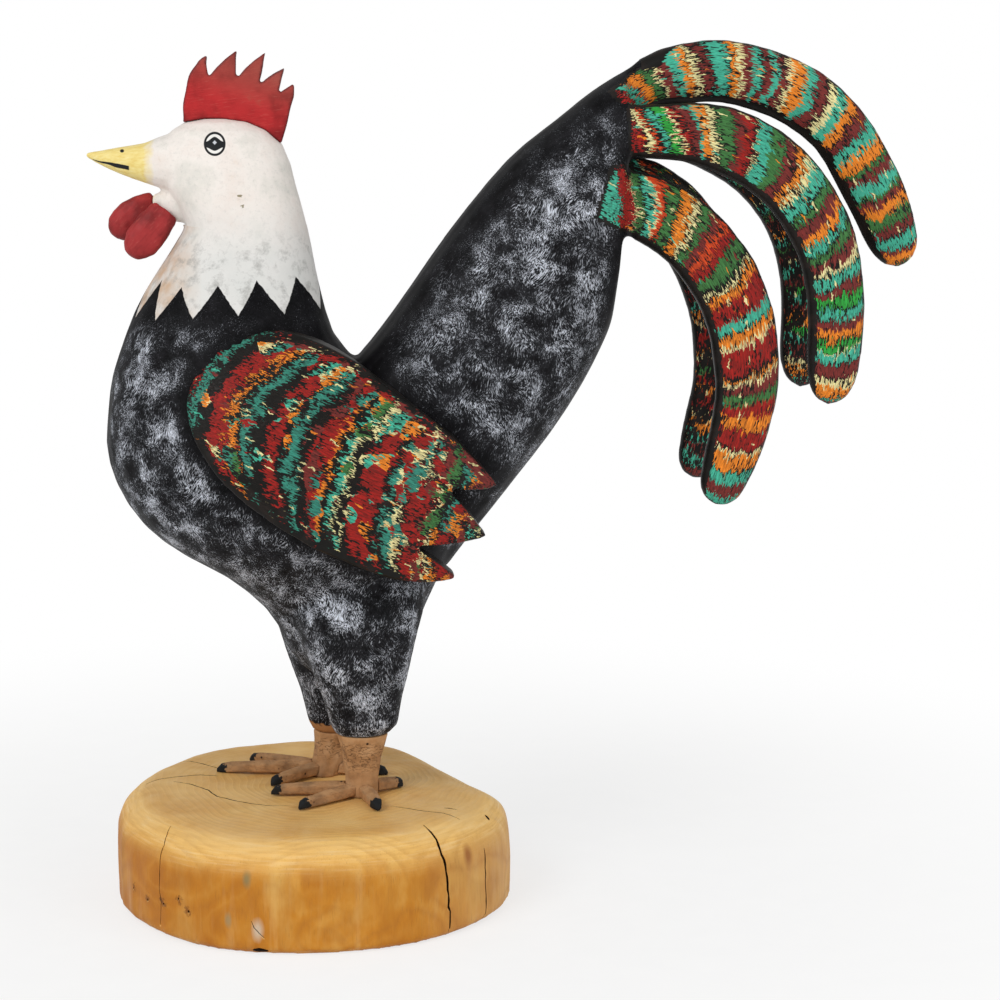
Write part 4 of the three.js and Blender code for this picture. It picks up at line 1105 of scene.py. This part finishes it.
def peg_finish(colours):
    """Turned beech dowel, unpainted: fine straight grain with short dark flecks."""
    material, tree, surface = finish_of("beech_dowel", IOR=WOOD_IOR)
    grain = streaks(tree, add(tree, "TexCoord", out="Object"), (1, 1, 9), 3)
    stops = [(0.35, "#A97B4C"), (0.55, colours.peg), (0.75, "#DDBE92")]
    tone = add(tree, "ValToRGB", {"Fac": grain}, stops=stops)
    coat(tree, surface, tone, grain, (0.55, 0.75), height=grain, depth=0.1 * MM, span=(0, 1))
    return material


def crack_wedge(line, width, depth, points, normals, draw):
    """Corners of a wedge along a crack, three at each step, from a little outside the log to its depth."""
    line = np.array(line, float) * MM
    gaps = np.linalg.norm(np.diff(line, axis=0), axis=1)
    at = np.concatenate([[0], np.cumsum(gaps)])
    spots = np.linspace(0, at[-1], max(4, int(at[-1] / CRACK_STEP)))
    path = np.stack([np.interp(spots, at, line[:, k]) for k in range(3)], 1)
    ways = np.gradient(path, axis=0)
    ways /= np.linalg.norm(ways, axis=1, keepdims=True)
    corners = []
    for i, (spot, way) in enumerate(zip(path, ways)):
        near = ((points - spot) ** 2).sum(1).argmin()
        out = normals[near]
        spot = spot + out * ((points[near] - spot) @ out)
        lateral = np.cross(way, out)
        lateral /= np.linalg.norm(lateral)
        # The crack narrows and gets shallow at both ends.
        end = min(i, len(path) - 1 - i) / max(1, len(path) - 1)
        full = (0.35 + 0.65 * min(1, 6 * end)) * draw.uniform(0.7, 1.25)
        half, deep = width * MM * full / 2, depth * MM * min(1, 0.4 + 4 * end)
        spot = spot + lateral * draw.uniform(-CRACK_WANDER, CRACK_WANDER) * MM
        flare = half * (deep + CRACK_PROUD) / deep
        above = spot + out * CRACK_PROUD
        corners += [above + lateral * flare, above - lateral * flare, spot - out * deep]
    return corners


def hole_drill(hole, points, normals, draw):
    """Corners of a short drill at a beetle hole: a ring outside the log and one at its depth."""
    near = ((points - np.array(hole) * MM) ** 2).sum(1).argmin()
    out, hole = normals[near], points[near]
    one = np.cross(out, (0, 0, 1.0))
    one /= np.linalg.norm(one)
    other = np.cross(out, one)
    size = HOLE_RADIUS * draw.uniform(0.7, 1.3)
    turns = [2 * math.pi * k / HOLE_SIDES for k in range(HOLE_SIDES)]
    return [
        hole + out * reach + size * (math.cos(turn) * one + math.sin(turn) * other)
        for reach in (HOLE_PROUD, -HOLE_DEPTH)
        for turn in turns
    ]


def log_cutters(points, normals):
    """Wedges that follow the cracks on the log, and short drills for the beetle holes, as one mesh."""
    draw = np.random.default_rng(CRACK_SEED)
    tubes = [(3, crack_wedge(*crack, points, normals, draw)) for crack in LOG_CRACKS]
    tubes += [(HOLE_SIDES, hole_drill(hole, points, normals, draw)) for hole in BEETLE_HOLES]
    work = bmesh.new()
    for around, corners in tubes:
        held = [work.verts.new(corner) for corner in corners]
        rings = [held[k : k + around] for k in range(0, len(held), around)]
        for ring, after in zip(rings[:-1], rings[1:]):
            for k in range(around):
                beside = (k + 1) % around
                work.faces.new((ring[k], ring[beside], after[beside], after[k]))
        work.faces.new(rings[0][::-1])
        work.faces.new(rings[-1])
    bmesh.ops.recalc_face_normals(work, faces=work.faces)
    bmesh.ops.triangulate(work, faces=work.faces)
    mesh = bpy.data.meshes.new("cutters")
    work.to_mesh(mesh)
    work.free()
    return mesh


def cut_from(mesh, cutter_mesh, field):
    """A mesh with the cutters taken out of it; field is 1 on the new faces."""
    pair = []
    for name, data, value in (("blank", mesh, 0.0), ("cutter", cutter_mesh, 1.0)):
        held = data.attributes.new(field, "FLOAT", "CORNER")
        held.data.foreach_set("value", np.full(len(data.loops), value, np.float32))
        pair.append(bpy.data.objects.new(name, data))
        bpy.context.scene.collection.objects.link(pair[-1])
    cut = pair[0].modifiers.new("cut", "BOOLEAN")
    cut.operation = "DIFFERENCE"
    cut.solver = "MANIFOLD"
    cut.object = pair[1]
    made = bpy.data.meshes.new_from_object(pair[0].evaluated_get(bpy.context.evaluated_depsgraph_get()))
    for spare in pair:
        bpy.data.objects.remove(spare)
    if len(made.polygons) <= len(mesh.polygons):
        raise RuntimeError("the cracks did not cut the log")
    return made


def log_fields(points, normals):
    """Where the log faces up, which the finish paints lighter as painted light: its sawn top, and the rounded
    shoulder round it.
    """
    up = normals[:, 2]
    shoulder = step(up, 0.02, 0.75) * (1 - 0.5 * step(up, 0.88, 0.99))
    return {"top": step(up, 0.5, 0.95), "shoulder": shoulder}


class CARVING_OT_log(bpy.types.Operator):
    """Log slice: rounded shoulder, drying cracks and beetle holes"""

    bl_idname = "carving.log"
    bl_label = "Log slice"

    def execute(self, context):
        sizes, colours = context.scene.carving_sizes, context.scene.carving_colours
        points, faces = skin_of(["base"], sizes.log_cell)
        points = sanded(points, faces, LOG_ROUNDS, share=step(points[:, 2] / MM, *LOG_SANDED_Z))
        facet = step(points @ FACET_WAY / MM, *FACET_REACH) * step(points[:, 2] / MM, *FACET_Z)
        points = sanded(points, faces, FACET_ROUNDS, share=facet, push=0)
        lift = sum(waves(points, seed, wave * MM, depth * MM) for seed, wave, depth in LOG_WAVES)
        lift *= step(points[:, 2] / MM, *LOG_UNEVEN_Z)
        points += normals_of(points, faces) * lift[:, None]
        points[:, 2] = np.maximum(points[:, 2], 0)
        blank = mesh_of("log", points, faces)
        mesh = cut_from(blank, log_cutters(points, normals_of(points, faces)), "grime")
        dress("log_slice", mesh, log_finish(colours, sizes), ["base"], log_fields, sharp=35)
        return {"FINISHED"}


def bare_share(points, normals):
    """How far the dry brush reached: 0 leaves plain charcoal, as by the crease and the collar, round the
    wings, where it is partly painted shadow, and below them as painted shade.
    """
    x, _, z = points.T / MM
    flat = np.stack([x, z], 1)
    away = {
        "ridges": np.abs(normals[:, 1]),
        "crease": np.hypot(x - CREASE[0], z - CREASE[1]),
        "wing": distance_to_line(flat, WING_RING),
        "tail_edge": distance_to_line(flat, TAIL_UPPER_EDGE),
    }
    reach = np.ones(len(points))
    for place, (left, low, high) in BRUSH_LEFT.items():
        reach *= left + (1 - left) * step(away[place], low, high)
    reach *= 1 - COLLAR_LEANER * step(z, *COLLAR_SHADE_Z) * (x < NECK_REAR_X)
    tail = step(x - TAIL_LEAN * (z - CREASE[1]), *TAIL_BACK) * step(z, *TAIL_Z)
    reach *= 1 - tail * (TAIL_LEANER - TAIL_TOP_FULLER * step(z, *TAIL_TOP_Z))
    reach *= 1 - ROOT_LEANER * step(past_root_of(points) / MM, *ROOT_SHADE)
    # Painted shade below the wing.
    reach *= 1 - UNDER_WING_PAINTED_SHADE * between(x, *UNDER_WING_X) * between(z, *UNDER_WING_Z)
    return reach


def body_fields(points, normals):
    """The dry brush's reach, and where a place is on the zigzag collar."""
    angle = np.degrees(np.abs(np.arctan2(points[:, 1], NECK_CENTRE_X - points[:, 0])))
    low = np.interp(angle, COLLAR_ANGLES, COLLAR_LOW)
    high = np.interp(angle, COLLAR_ANGLES, COLLAR_HIGH)
    level = np.clip((points[:, 2] / MM - low) / (high - low), *COLLAR_LEVELS)
    return {
        "bare": bare_share(points, normals),
        "collar_phase": np.interp(angle, COLLAR_ANGLES, range(len(COLLAR_ANGLES))),
        "collar_level": np.where(points[:, 0] > NECK_REAR_X * MM, COLLAR_LEVELS[0], level),
    }


def tail_fields(points, normals):
    """The dry brush's reach, and the fields of the feather that is nearest."""
    return {"bare": bare_share(points, normals), **nearest_feather(points, normals)[1]}


def tail_pick(middles, normals):
    """The number of a face's finish: 0 for charcoal, or the nearest feather's bands on its root."""
    nearest, fields = nearest_feather(middles, normals)
    painted = (fields["cover"] > LEAST_PAINT) & (past_root_of(middles) > ROOT_PAINT)
    return np.where(painted, 1 + nearest, 0)


class CARVING_OT_body(bpy.types.Operator):
    """Body with neck and thighs, and the tail block behind it"""

    bl_idname = "carving.body"
    bl_label = "Body and tail block"

    def execute(self, context):
        sizes, colours = context.scene.carving_sizes, context.scene.carving_colours
        names = ["body", "head", "tail_block", "neck_peg", "tail_peg_upper", "tail_peg_lower"]
        names += [f"{kind}_{name}" for kind in ("tail_feather", "feather_peg") for name in FEATHER_NAMES]
        points, faces = skin_of(names, sizes.body_cell)
        share = THIGH_END_SHARE + (1 - THIGH_END_SHARE) * step(points[:, 2] / MM, *BODY_SANDED_Z)
        points = sanded(points, faces, BODY_ROUNDS, share)
        share = between(past_root_of(points) / MM, *ROOT_BLEND)
        points = sanded(points, faces, ROOT_ROUNDS, share, push=0)
        corner = np.hypot(points[:, 0] / MM - TAIL_CORNER[0], points[:, 2] / MM - TAIL_CORNER[1])
        points = sanded(points, faces, CORNER_ROUNDS, 1 - step(corner, *CORNER_REACH), push=0)
        points = knife_marked(points, faces, BODY_SEED, BODY_WAVE, sizes.carved_depth)
        body = part_of(points, faces, (TAIL_CUT, NECK_CUT), in_body)
        root_cut = (FEATHER_ROOT_AT + BLENDED_ROOT * FEATHER_ROOT_NORMAL, FEATHER_ROOT_NORMAL)
        tail = part_of(points, faces, (TAIL_CUT, root_cut), in_tail)
        dress("body_block", body, body_finish(colours), ["body"], body_fields)
        dress(
            "tail_stem",
            tail,
            tail_finish(colours),
            ["tail_block"],
            tail_fields,
            others=[feather_finish(kind, colours, sizes) for kind in FEATHER_BANDS],
            pick=tail_pick,
        )
        return {"FINISHED"}


class CARVING_OT_head(bpy.types.Operator):
    """Head with beak and chin post, painted eye and mouth"""

    bl_idname = "carving.head"
    bl_label = "Head"

    def execute(self, context):
        sizes, colours = context.scene.carving_sizes, context.scene.carving_colours
        points, faces = skin_of(["head", "body", "neck_peg"], sizes.head_cell, HEAD_SKIN_LEAST_Z)
        points = sanded(points, faces, HEAD_ROUNDS)
        points = knife_marked(points, faces, BODY_SEED, BODY_WAVE, HEAD_DEPTH_SHARE * sizes.carved_depth)
        head = part_of(points, faces, (NECK_CUT,), in_head)
        dress("head_block", head, head_finish(colours), ["head"])
        return {"FINISHED"}


def comb_fields(points, normals):
    """Dark paint on the comb's narrow edges and along its faces next to them, with painted shade, and wear on
    its points.
    """
    x, _, z = points.T / MM
    narrow = points[np.abs(normals[:, 1]) < COMB_NARROW_FACING]
    tree = KDTree(len(narrow))
    for number, point in enumerate(narrow):
        tree.insert(point, number)
    tree.balance()
    away = np.array([tree.find(point)[2] for point in points]) / MM
    return {"rim": 1 - step(away, *COMB_LINE), "worn": step(z + COMB_WORN_SLOPE * x, *COMB_WORN_Z)}


class CARVING_OT_comb(bpy.types.Operator):
    """Saw-edged comb"""

    bl_idname = "carving.comb"
    bl_label = "Comb"

    def execute(self, context):
        sizes, colours = context.scene.carving_sizes, context.scene.carving_colours
        points, faces = carved("comb", "comb", sizes.comb_cell)
        finish = red_finish("acrylic_red_comb", colours.comb, (9, 2, 0.9), -0.1)
        dress("comb_slab", mesh_of("comb_slab", points, faces), finish, ["comb"], comb_fields)
        return {"FINISHED"}


def wattle_fields(points, normals):
    """Painted shade under the wattles and on their backs towards the throat, and even wear."""
    low, back = step(-normals[:, 2], 0.3, 0.9), step(normals[:, 0], 0.4, 0.9)
    return {"rim": 0.6 * np.maximum(low, back), "worn": np.full(len(points), 0.25)}


class CARVING_OT_wattles(bpy.types.Operator):
    """Two wattles under the chin"""

    bl_idname = "carving.wattles"
    bl_label = "Wattles"

    def execute(self, context):
        sizes, colours = context.scene.carving_sizes, context.scene.carving_colours
        finish = red_finish("acrylic_red_wattle", colours.wattle, (1.2, 1.2, 9), 0.75)
        for number, (side, _) in enumerate(SIDES):
            node = f"wattle_{side}"
            mesh = mesh_of(node, *carved("wattle", node, sizes.comb_cell, number))
            dress(f"wattle_lobe_{side}", mesh, finish, [node], wattle_fields)
        return {"FINISHED"}


def paint_level(cover):
    """The level of paint that a share of cover gives: whole at 1, and only the thickest marks under 0."""
    return 1.5 * cover - 0.5


def wing_fields(outward, points, normals):
    """Where the brush went on a wing, how much paint it left, and where the patches and the upper hem are."""
    x, y, z = points.T / MM
    z = z + (RIGHT_WING_DROP if outward > 0 else 0)
    right, up = x - WING_FRONT[0], z - WING_FRONT[1]
    along = right * WING_AXIS[0] + up * WING_AXIS[1]
    across = up * WING_AXIS[0] - right * WING_AXIS[1]
    off = np.clip(np.abs(across - WING_ARC_MIDDLE), 0, 0.96 * WING_ARC_RADIUS)
    bow = WING_ARC_RADIUS - np.sqrt(WING_ARC_RADIUS**2 - off**2)
    reach = along + WING_BAND_START - bow * (1 - WING_FLATTENING * step(along, *WING_ARCS_FLATTEN))
    flat = np.stack([x, z], 1)
    over_lower, over_patch = [z - (base + slope * x) for base, slope in (WING_LOWER_LINE, WING_PATCH_LINE)]
    front = 1 - step(reach, *WING_FRONT_PAINT)
    upper = np.maximum(step(over_lower, *WING_LOWER_FADE), 0.9 * front)
    full = np.maximum(0.85 * step(along, *WING_POINTS), 0.7 * front)
    bare_edge = 0.7 * (1 - step(distance_to_line(flat, WING_RING), *WING_EDGE)) * (1 - full)
    cover = step(outward * normals[:, 1], 0.05, 0.35) * (1 - bare_edge) * (0.38 + 0.62 * upper)
    patch = step(over_patch, *WING_PATCH_FADE) * step(x, *WING_PATCH_X)
    return {
        "stroke": np.stack([reach, across, outward * y], 1) * MM,
        "cover": paint_level(cover),
        "patch": 0.12 + 0.6 * patch + 0.2 * step(along, *WING_REAR_PATCHES),
        "hem": 1 - step(distance_to_line(flat, WING_UPPER_EDGE), *WING_HEM_WIDTH),
    }


class CARVING_OT_wings(bpy.types.Operator):
    """Two bowed wings with painted arcs"""

    bl_idname = "carving.wings"
    bl_label = "Wings"

    def execute(self, context):
        sizes, colours = context.scene.carving_sizes, context.scene.carving_colours
        rows = (WING_BANDS, WING_PATCHES, WING_HEM)
        finish = banded_finish("acrylic_wing_dabs", rows, colours, sizes, **WING_DABS)
        for number, (side, outward) in enumerate(SIDES):
            node = f"wing_{side}"
            mesh = mesh_of(node, *carved("wing", node, sizes.wing_cell, number))

            def fields(points, normals):
                return wing_fields(outward, points, normals)

            dress(f"wing_board_{side}", mesh, finish, [node], fields)
        return {"FINISHED"}


def feather_finish(kind, colours, sizes):
    """The banded paint of one kind of feather, made once."""
    name, rows = f"acrylic_feather_{kind}", (FEATHER_BANDS[kind],)
    made = bpy.data.materials.get(name)
    return made or banded_finish(name, rows, colours, sizes, leanest=FEATHER_LEAN[kind], **FEATHER_DABS)


def feather_line(kind, side):
    """Close points along a feather's middle line in metres, with half widths, run lengths and directions."""
    table = np.array(FEATHER_LINES[kind], float)
    table[:, 1] *= side
    if side > 0:
        table[:, 0] += RIGHT_FEATHER_BACK
        if kind == "low":
            table[:, 2] += LOW_RIGHT_LIFT * np.clip((9 - np.arange(len(table))) / 6, 0.2, 1)
    # A smooth curve through the points, each stretch of it worked out from the points on either side.
    padded = np.concatenate([[2 * table[0] - table[1]], table, [2 * table[-1] - table[-2]]])
    close = []
    for a, b, c, d in zip(padded[:-3], padded[1:-2], padded[2:-1], padded[3:]):
        for t in np.arange(0, 1, 1 / LINE_STEPS):
            bend = (2 * a - 5 * b + 4 * c - d) * t**2 + (3 * b - a - 3 * c + d) * t**3
            close.append(0.5 * (2 * b + (c - a) * t + bend))
    close = np.array([*close, table[-1]])
    line, half = close[:, :3] * MM, close[:, 3] * MM
    ways = np.gradient(line, axis=0)
    ways /= np.linalg.norm(ways, axis=1, keepdims=True)
    runs = np.concatenate([[0], np.cumsum(np.linalg.norm(np.diff(line, axis=0), axis=1))])
    root = slice(3 * LINE_STEPS)
    runs -= np.interp(FEATHER_ROOT_X * MM, line[root, 0], runs[root])
    return line, half, ways, runs


def feather_fields(kind, side, points, normals):
    """Where the brush went on a feather and how much paint it left, and how far a place is from its line."""
    line, half, ways, runs = feather_line(kind, side)
    near = [((p[:, None] - line[None]) ** 2).sum(2).argmin(1) for p in np.array_split(points, 40)]
    near = np.concatenate(near)
    off, way, half = points - line[near], ways[near], half[near]
    wide = np.stack([-way[:, 2], 0 * way[:, 0], way[:, 0]], 1)
    wide /= np.linalg.norm(wide, axis=1, keepdims=True)
    across = (off * wide).sum(1)
    along = runs[near] + (off * way).sum(1) - FEATHER_START[kind] * MM
    run = along / MM
    bow = BAND_BOW * np.clip(across / half, -1, 1) ** 2
    deep = off[:, 1] if side == 0 else side * off[:, 1]
    out = np.abs(normals[:, 1]) if side == 0 else side * normals[:, 1]
    cover = step(out, *FEATHER_FACING[kind]) * step((across + half) / MM, *INNER_MARGIN)
    cover *= (0.4 + 0.6 * step((half - across) / MM, *OUTER_MARGIN)) * step(run, *FIRST_PAINT)
    if kind == "top":
        allowed = np.interp(run, TOP_ROOT_RUN, TOP_ROOT_EDGE)
        cover *= 1 - step(across / half - allowed, -TOP_ROOT_SOFT, TOP_ROOT_SOFT)
    cover = paint_level(np.maximum(cover, 0.56 * step(-out, 0.3, 0.7)))
    eased = 1.5 - 0.5 * step(run, *SLANT_EASES) - 0.6 * step(run, *SLANT_FADES)
    slant = BAND_SLANT[kind] * across * eased
    fields = {"stroke": np.stack([along + bow + slant, across, deep], 1), "cover": cover}
    return fields, np.hypot(across / half, deep / (FEATHER_DEPTH[kind] * MM))


def nearest_feather(points, normals):
    """For places on the tail block's end: the number of the nearest kind of feather, and its fields."""
    best, nearest, chosen = np.full(len(points), np.inf), np.zeros(len(points), int), None
    for number, kind in enumerate(FEATHER_BANDS):
        for side in (0.0,) if kind == "top" else (-1.0, 1.0):
            fields, away = feather_fields(kind, side, points, normals)
            closer = away < best
            best = np.where(closer, away, best)
            nearest = np.where(closer, number, nearest)
            chosen = chosen or fields
            for name, values in fields.items():
                here = closer if values.ndim == 1 else closer[:, None]
                chosen[name] = np.where(here, values, chosen[name])
    return nearest, chosen


class CARVING_OT_feathers(bpy.types.Operator):
    """Five tail feathers with painted bands"""

    bl_idname = "carving.feathers"
    bl_label = "Tail feathers"

    def execute(self, context):
        sizes, colours = context.scene.carving_sizes, context.scene.carving_colours
        side_of = {"": 0.0, **dict(SIDES)}
        root_cut = (FEATHER_ROOT_AT + FEATHER_CUT * FEATHER_ROOT_NORMAL, FEATHER_ROOT_NORMAL)
        for number, name in enumerate(FEATHER_NAMES):
            kind, _, side = name.partition("_")
            node = f"tail_feather_{name}"
            points, faces = carved("feather", node, sizes.feather_cell, number)
            tip = feather_line(kind, side_of[side])[0][-1]
            round_tip = 1 - step(np.linalg.norm(points - tip, axis=1) / MM, *TIP_REACH)
            points = sanded(points, faces, TIP_ROUNDS, round_tip, push=0)
            mesh = part_of(points, faces, (root_cut,), lambda place: past_root(place) > FEATHER_CUT)

            def fields(points, normals):
                return feather_fields(kind, side_of[side], points, normals)[0]

            finish = feather_finish(kind, colours, sizes)
            dress(f"feather_{name}", mesh, finish, [node], fields)
        return {"FINISHED"}


class CARVING_OT_legs(bpy.types.Operator):
    """Whittled shanks and toes with black claws"""

    bl_idname = "carving.legs"
    bl_label = "Shanks and toes"

    def execute(self, context):
        sizes, colours = context.scene.carving_sizes, context.scene.carving_colours
        finish = leg_finish(colours)
        for number, (side, _) in enumerate(SIDES):
            shank = f"shank_{side}"
            low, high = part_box(shank)
            foot = np.array(((low + high) / 2)[:2])

            def shank_fields(points, normals):
                up = (points[:, 2] - low.z) / (high.z - low.z)
                return {"claw": np.zeros(len(points)), "filler": between(up, (0.3, 0.6), (0.8, 0.95))}

            def toe_fields(points, normals):
                reach = np.hypot(*(points[:, :2] - foot).T)
                claw = 1 - (reach.max() - reach) / CLAW_LENGTH
                return {"claw": claw, "filler": np.full(len(points), 0.35)}

            mesh = mesh_of(shank, *carved("shank", shank, sizes.foot_cell, number))
            dress(f"leg_{shank}", mesh, finish, [shank], shank_fields)
            for place, toe in enumerate(TOES):
                node = f"toe_{side}_{toe}"
                mesh = mesh_of(node, *carved("toe", node, sizes.foot_cell, len(TOES) * number + place))
                dress(f"leg_{node}", mesh, finish, [node], toe_fields, sharp=40)
        return {"FINISHED"}


class CARVING_OT_pegs(bpy.types.Operator):
    """Hidden dowels, kept as they are and given a wood finish"""

    bl_idname = "carving.pegs"
    bl_label = "Pegs"

    def execute(self, context):
        finish = peg_finish(context.scene.carving_colours)
        for name in PEGS:
            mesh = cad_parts[name].data
            mesh.materials.clear()
            mesh.materials.append(finish)
        return {"FINISHED"}


def paper_finish():
    """Seamless white paper, even and matt: plain white away from the figure, with its shadow kept near it."""
    material = bpy.data.materials.new("white_paper_floor")
    material.use_nodes = True
    tree = material.node_tree
    tree.nodes.clear()
    place = add(tree, "TexCoord", out="Object")
    grain = add(tree, "TexNoise", {"Vector": place, "Scale": 1 / 0.025, "Detail": 2})
    paper = add(tree, "ValToRGB", {"Fac": grain}, stops=[(0.3, "#F4F4F3"), (0.7, "#F8F8F7")])
    matt = add(tree, "BsdfDiffuse", {"Color": paper})
    white = add(tree, "Emission", {"Color": (1, 1, 1), "Strength": 1.0})
    away = add(tree, "VectorMath", {0: place}, out="Value", operation="LENGTH")
    away = {"Value": away, "From Min": WHITE_AWAY[0], "From Max": WHITE_AWAY[1], "To Min": 0.7, "To Max": 1.0}
    away = add(tree, "MapRange", away, interpolation_type="SMOOTHSTEP")
    rays = add(tree, "LightPath").node.outputs
    seen = add(tree, "Math", {0: rays["Is Camera Ray"], 1: rays["Is Glossy Ray"]}, operation="MAXIMUM")
    seen = add(tree, "Math", {0: seen, 1: rays["Is Transmission Ray"]}, operation="MAXIMUM")
    share = add(tree, "Math", {0: seen, 1: away}, operation="MULTIPLY")
    both = add(tree, "MixShader", {0: share, 1: matt, 2: white})
    add(tree, "OutputMaterial", {"Surface": both})
    return material


def placed(name, data, at, facing):
    """A lamp or camera set at a place and turned to look along a direction."""
    held = bpy.data.objects.new(name, data)
    bpy.context.scene.collection.objects.link(held)
    held.location = at
    held.rotation_euler = facing.to_track_quat("-Z", "Y").to_euler()
    return held


class CARVING_OT_stage(bpy.types.Operator):
    """Pale floor, soft lamps and the camera"""

    bl_idname = "carving.stage"
    bl_label = "Stage"

    def execute(self, context):
        scene, light = context.scene, context.scene.carving_stage
        scene.view_settings.view_transform = "Standard"
        turns = [2 * math.pi * k / FLOOR_SIDES for k in range(FLOOR_SIDES)]
        ring = [(FLOOR_RADIUS * math.cos(turn), FLOOR_RADIUS * math.sin(turn), 0) for turn in turns]
        mesh = bpy.data.meshes.new("floor")
        mesh.from_pydata(ring, [], [tuple(range(FLOOR_SIDES))])
        mesh.materials.append(paper_finish())
        floor = bpy.data.objects.new("floor", mesh)
        scene.collection.objects.link(floor)
        floor.location.z = -FLOOR_DROP

        world = bpy.data.worlds.new("studio")
        scene.world = world
        world.use_nodes = True
        tree = world.node_tree
        tree.nodes.clear()
        rays = add(tree, "LightPath").node.outputs
        through = rays["Is Transmission Ray"]
        seen = add(tree, "Math", {0: rays["Is Camera Ray"], 1: through}, operation="MAXIMUM")
        strength = add(tree, "MapRange", {"Value": seen, "To Min": light.sky, "To Max": 1.0})
        sky = add(tree, "Background", {"Color": (1, 1, 1), "Strength": strength})
        add(tree, "OutputWorld", {"Surface": sky})

        for name, wide, at in LAMPS:
            lamp = bpy.data.lights.new(name, "AREA")
            lamp.energy, lamp.size = getattr(light, name), wide
            placed(name, lamp, at, LAMP_AIM - Vector(at))

        eye = bpy.data.cameras.new("view")
        eye.lens, eye.sensor_width = VIEW_LENS, SENSOR_WIDTH
        turn, rise = math.radians(VIEW_AZIMUTH), math.radians(VIEW_ELEVATION)
        back = Vector((math.sin(turn) * math.cos(rise), -math.cos(turn) * math.cos(rise), math.sin(rise)))
        scene.camera = placed("view", eye, VIEW_TARGET + back * VIEW_DISTANCE, -back)
        return {"FINISHED"}


OPERATORS = (
    CARVING_OT_stage,
    CARVING_OT_log,
    CARVING_OT_body,
    CARVING_OT_head,
    CARVING_OT_comb,
    CARVING_OT_wattles,
    CARVING_OT_wings,
    CARVING_OT_feathers,
    CARVING_OT_legs,
    CARVING_OT_pegs,
)
GROUPS = {"carving_sizes": CarvingSizes, "carving_colours": CarvingColours, "carving_stage": CarvingStage}


class CARVING_PT_panel(bpy.types.Panel):
    """Lists the carving's pieces and the values that a user may change"""

    bl_label = "Carved rooster"
    bl_idname = "CARVING_PT_panel"
    bl_space_type = "VIEW_3D"
    bl_region_type = "UI"
    bl_category = "Carving"

    def draw(self, context):
        for operator in OPERATORS:
            self.layout.operator(operator.bl_idname)
        for group, kind in GROUPS.items():
            box = self.layout.box()
            for name in kind.__annotations__:
                box.prop(getattr(context.scene, group), name)


def register():
    """Registers the classes and their values on the scene."""
    for kind in (*GROUPS.values(), *OPERATORS, CARVING_PT_panel):
        bpy.utils.register_class(kind)
    for name, kind in GROUPS.items():
        setattr(bpy.types.Scene, name, bpy.props.PointerProperty(type=kind))


def unregister():
    """Takes the classes and their values away again."""
    for name in GROUPS:
        delattr(bpy.types.Scene, name)
    for kind in reversed((*GROUPS.values(), *OPERATORS, CARVING_PT_panel)):
        bpy.utils.unregister_class(kind)


def main():
    """Builds every piece."""
    register()
    for operator in OPERATORS:
        group, name = operator.bl_idname.split(".")
        getattr(getattr(bpy.ops, group), name)()


if __name__ == "__main__":
    main()
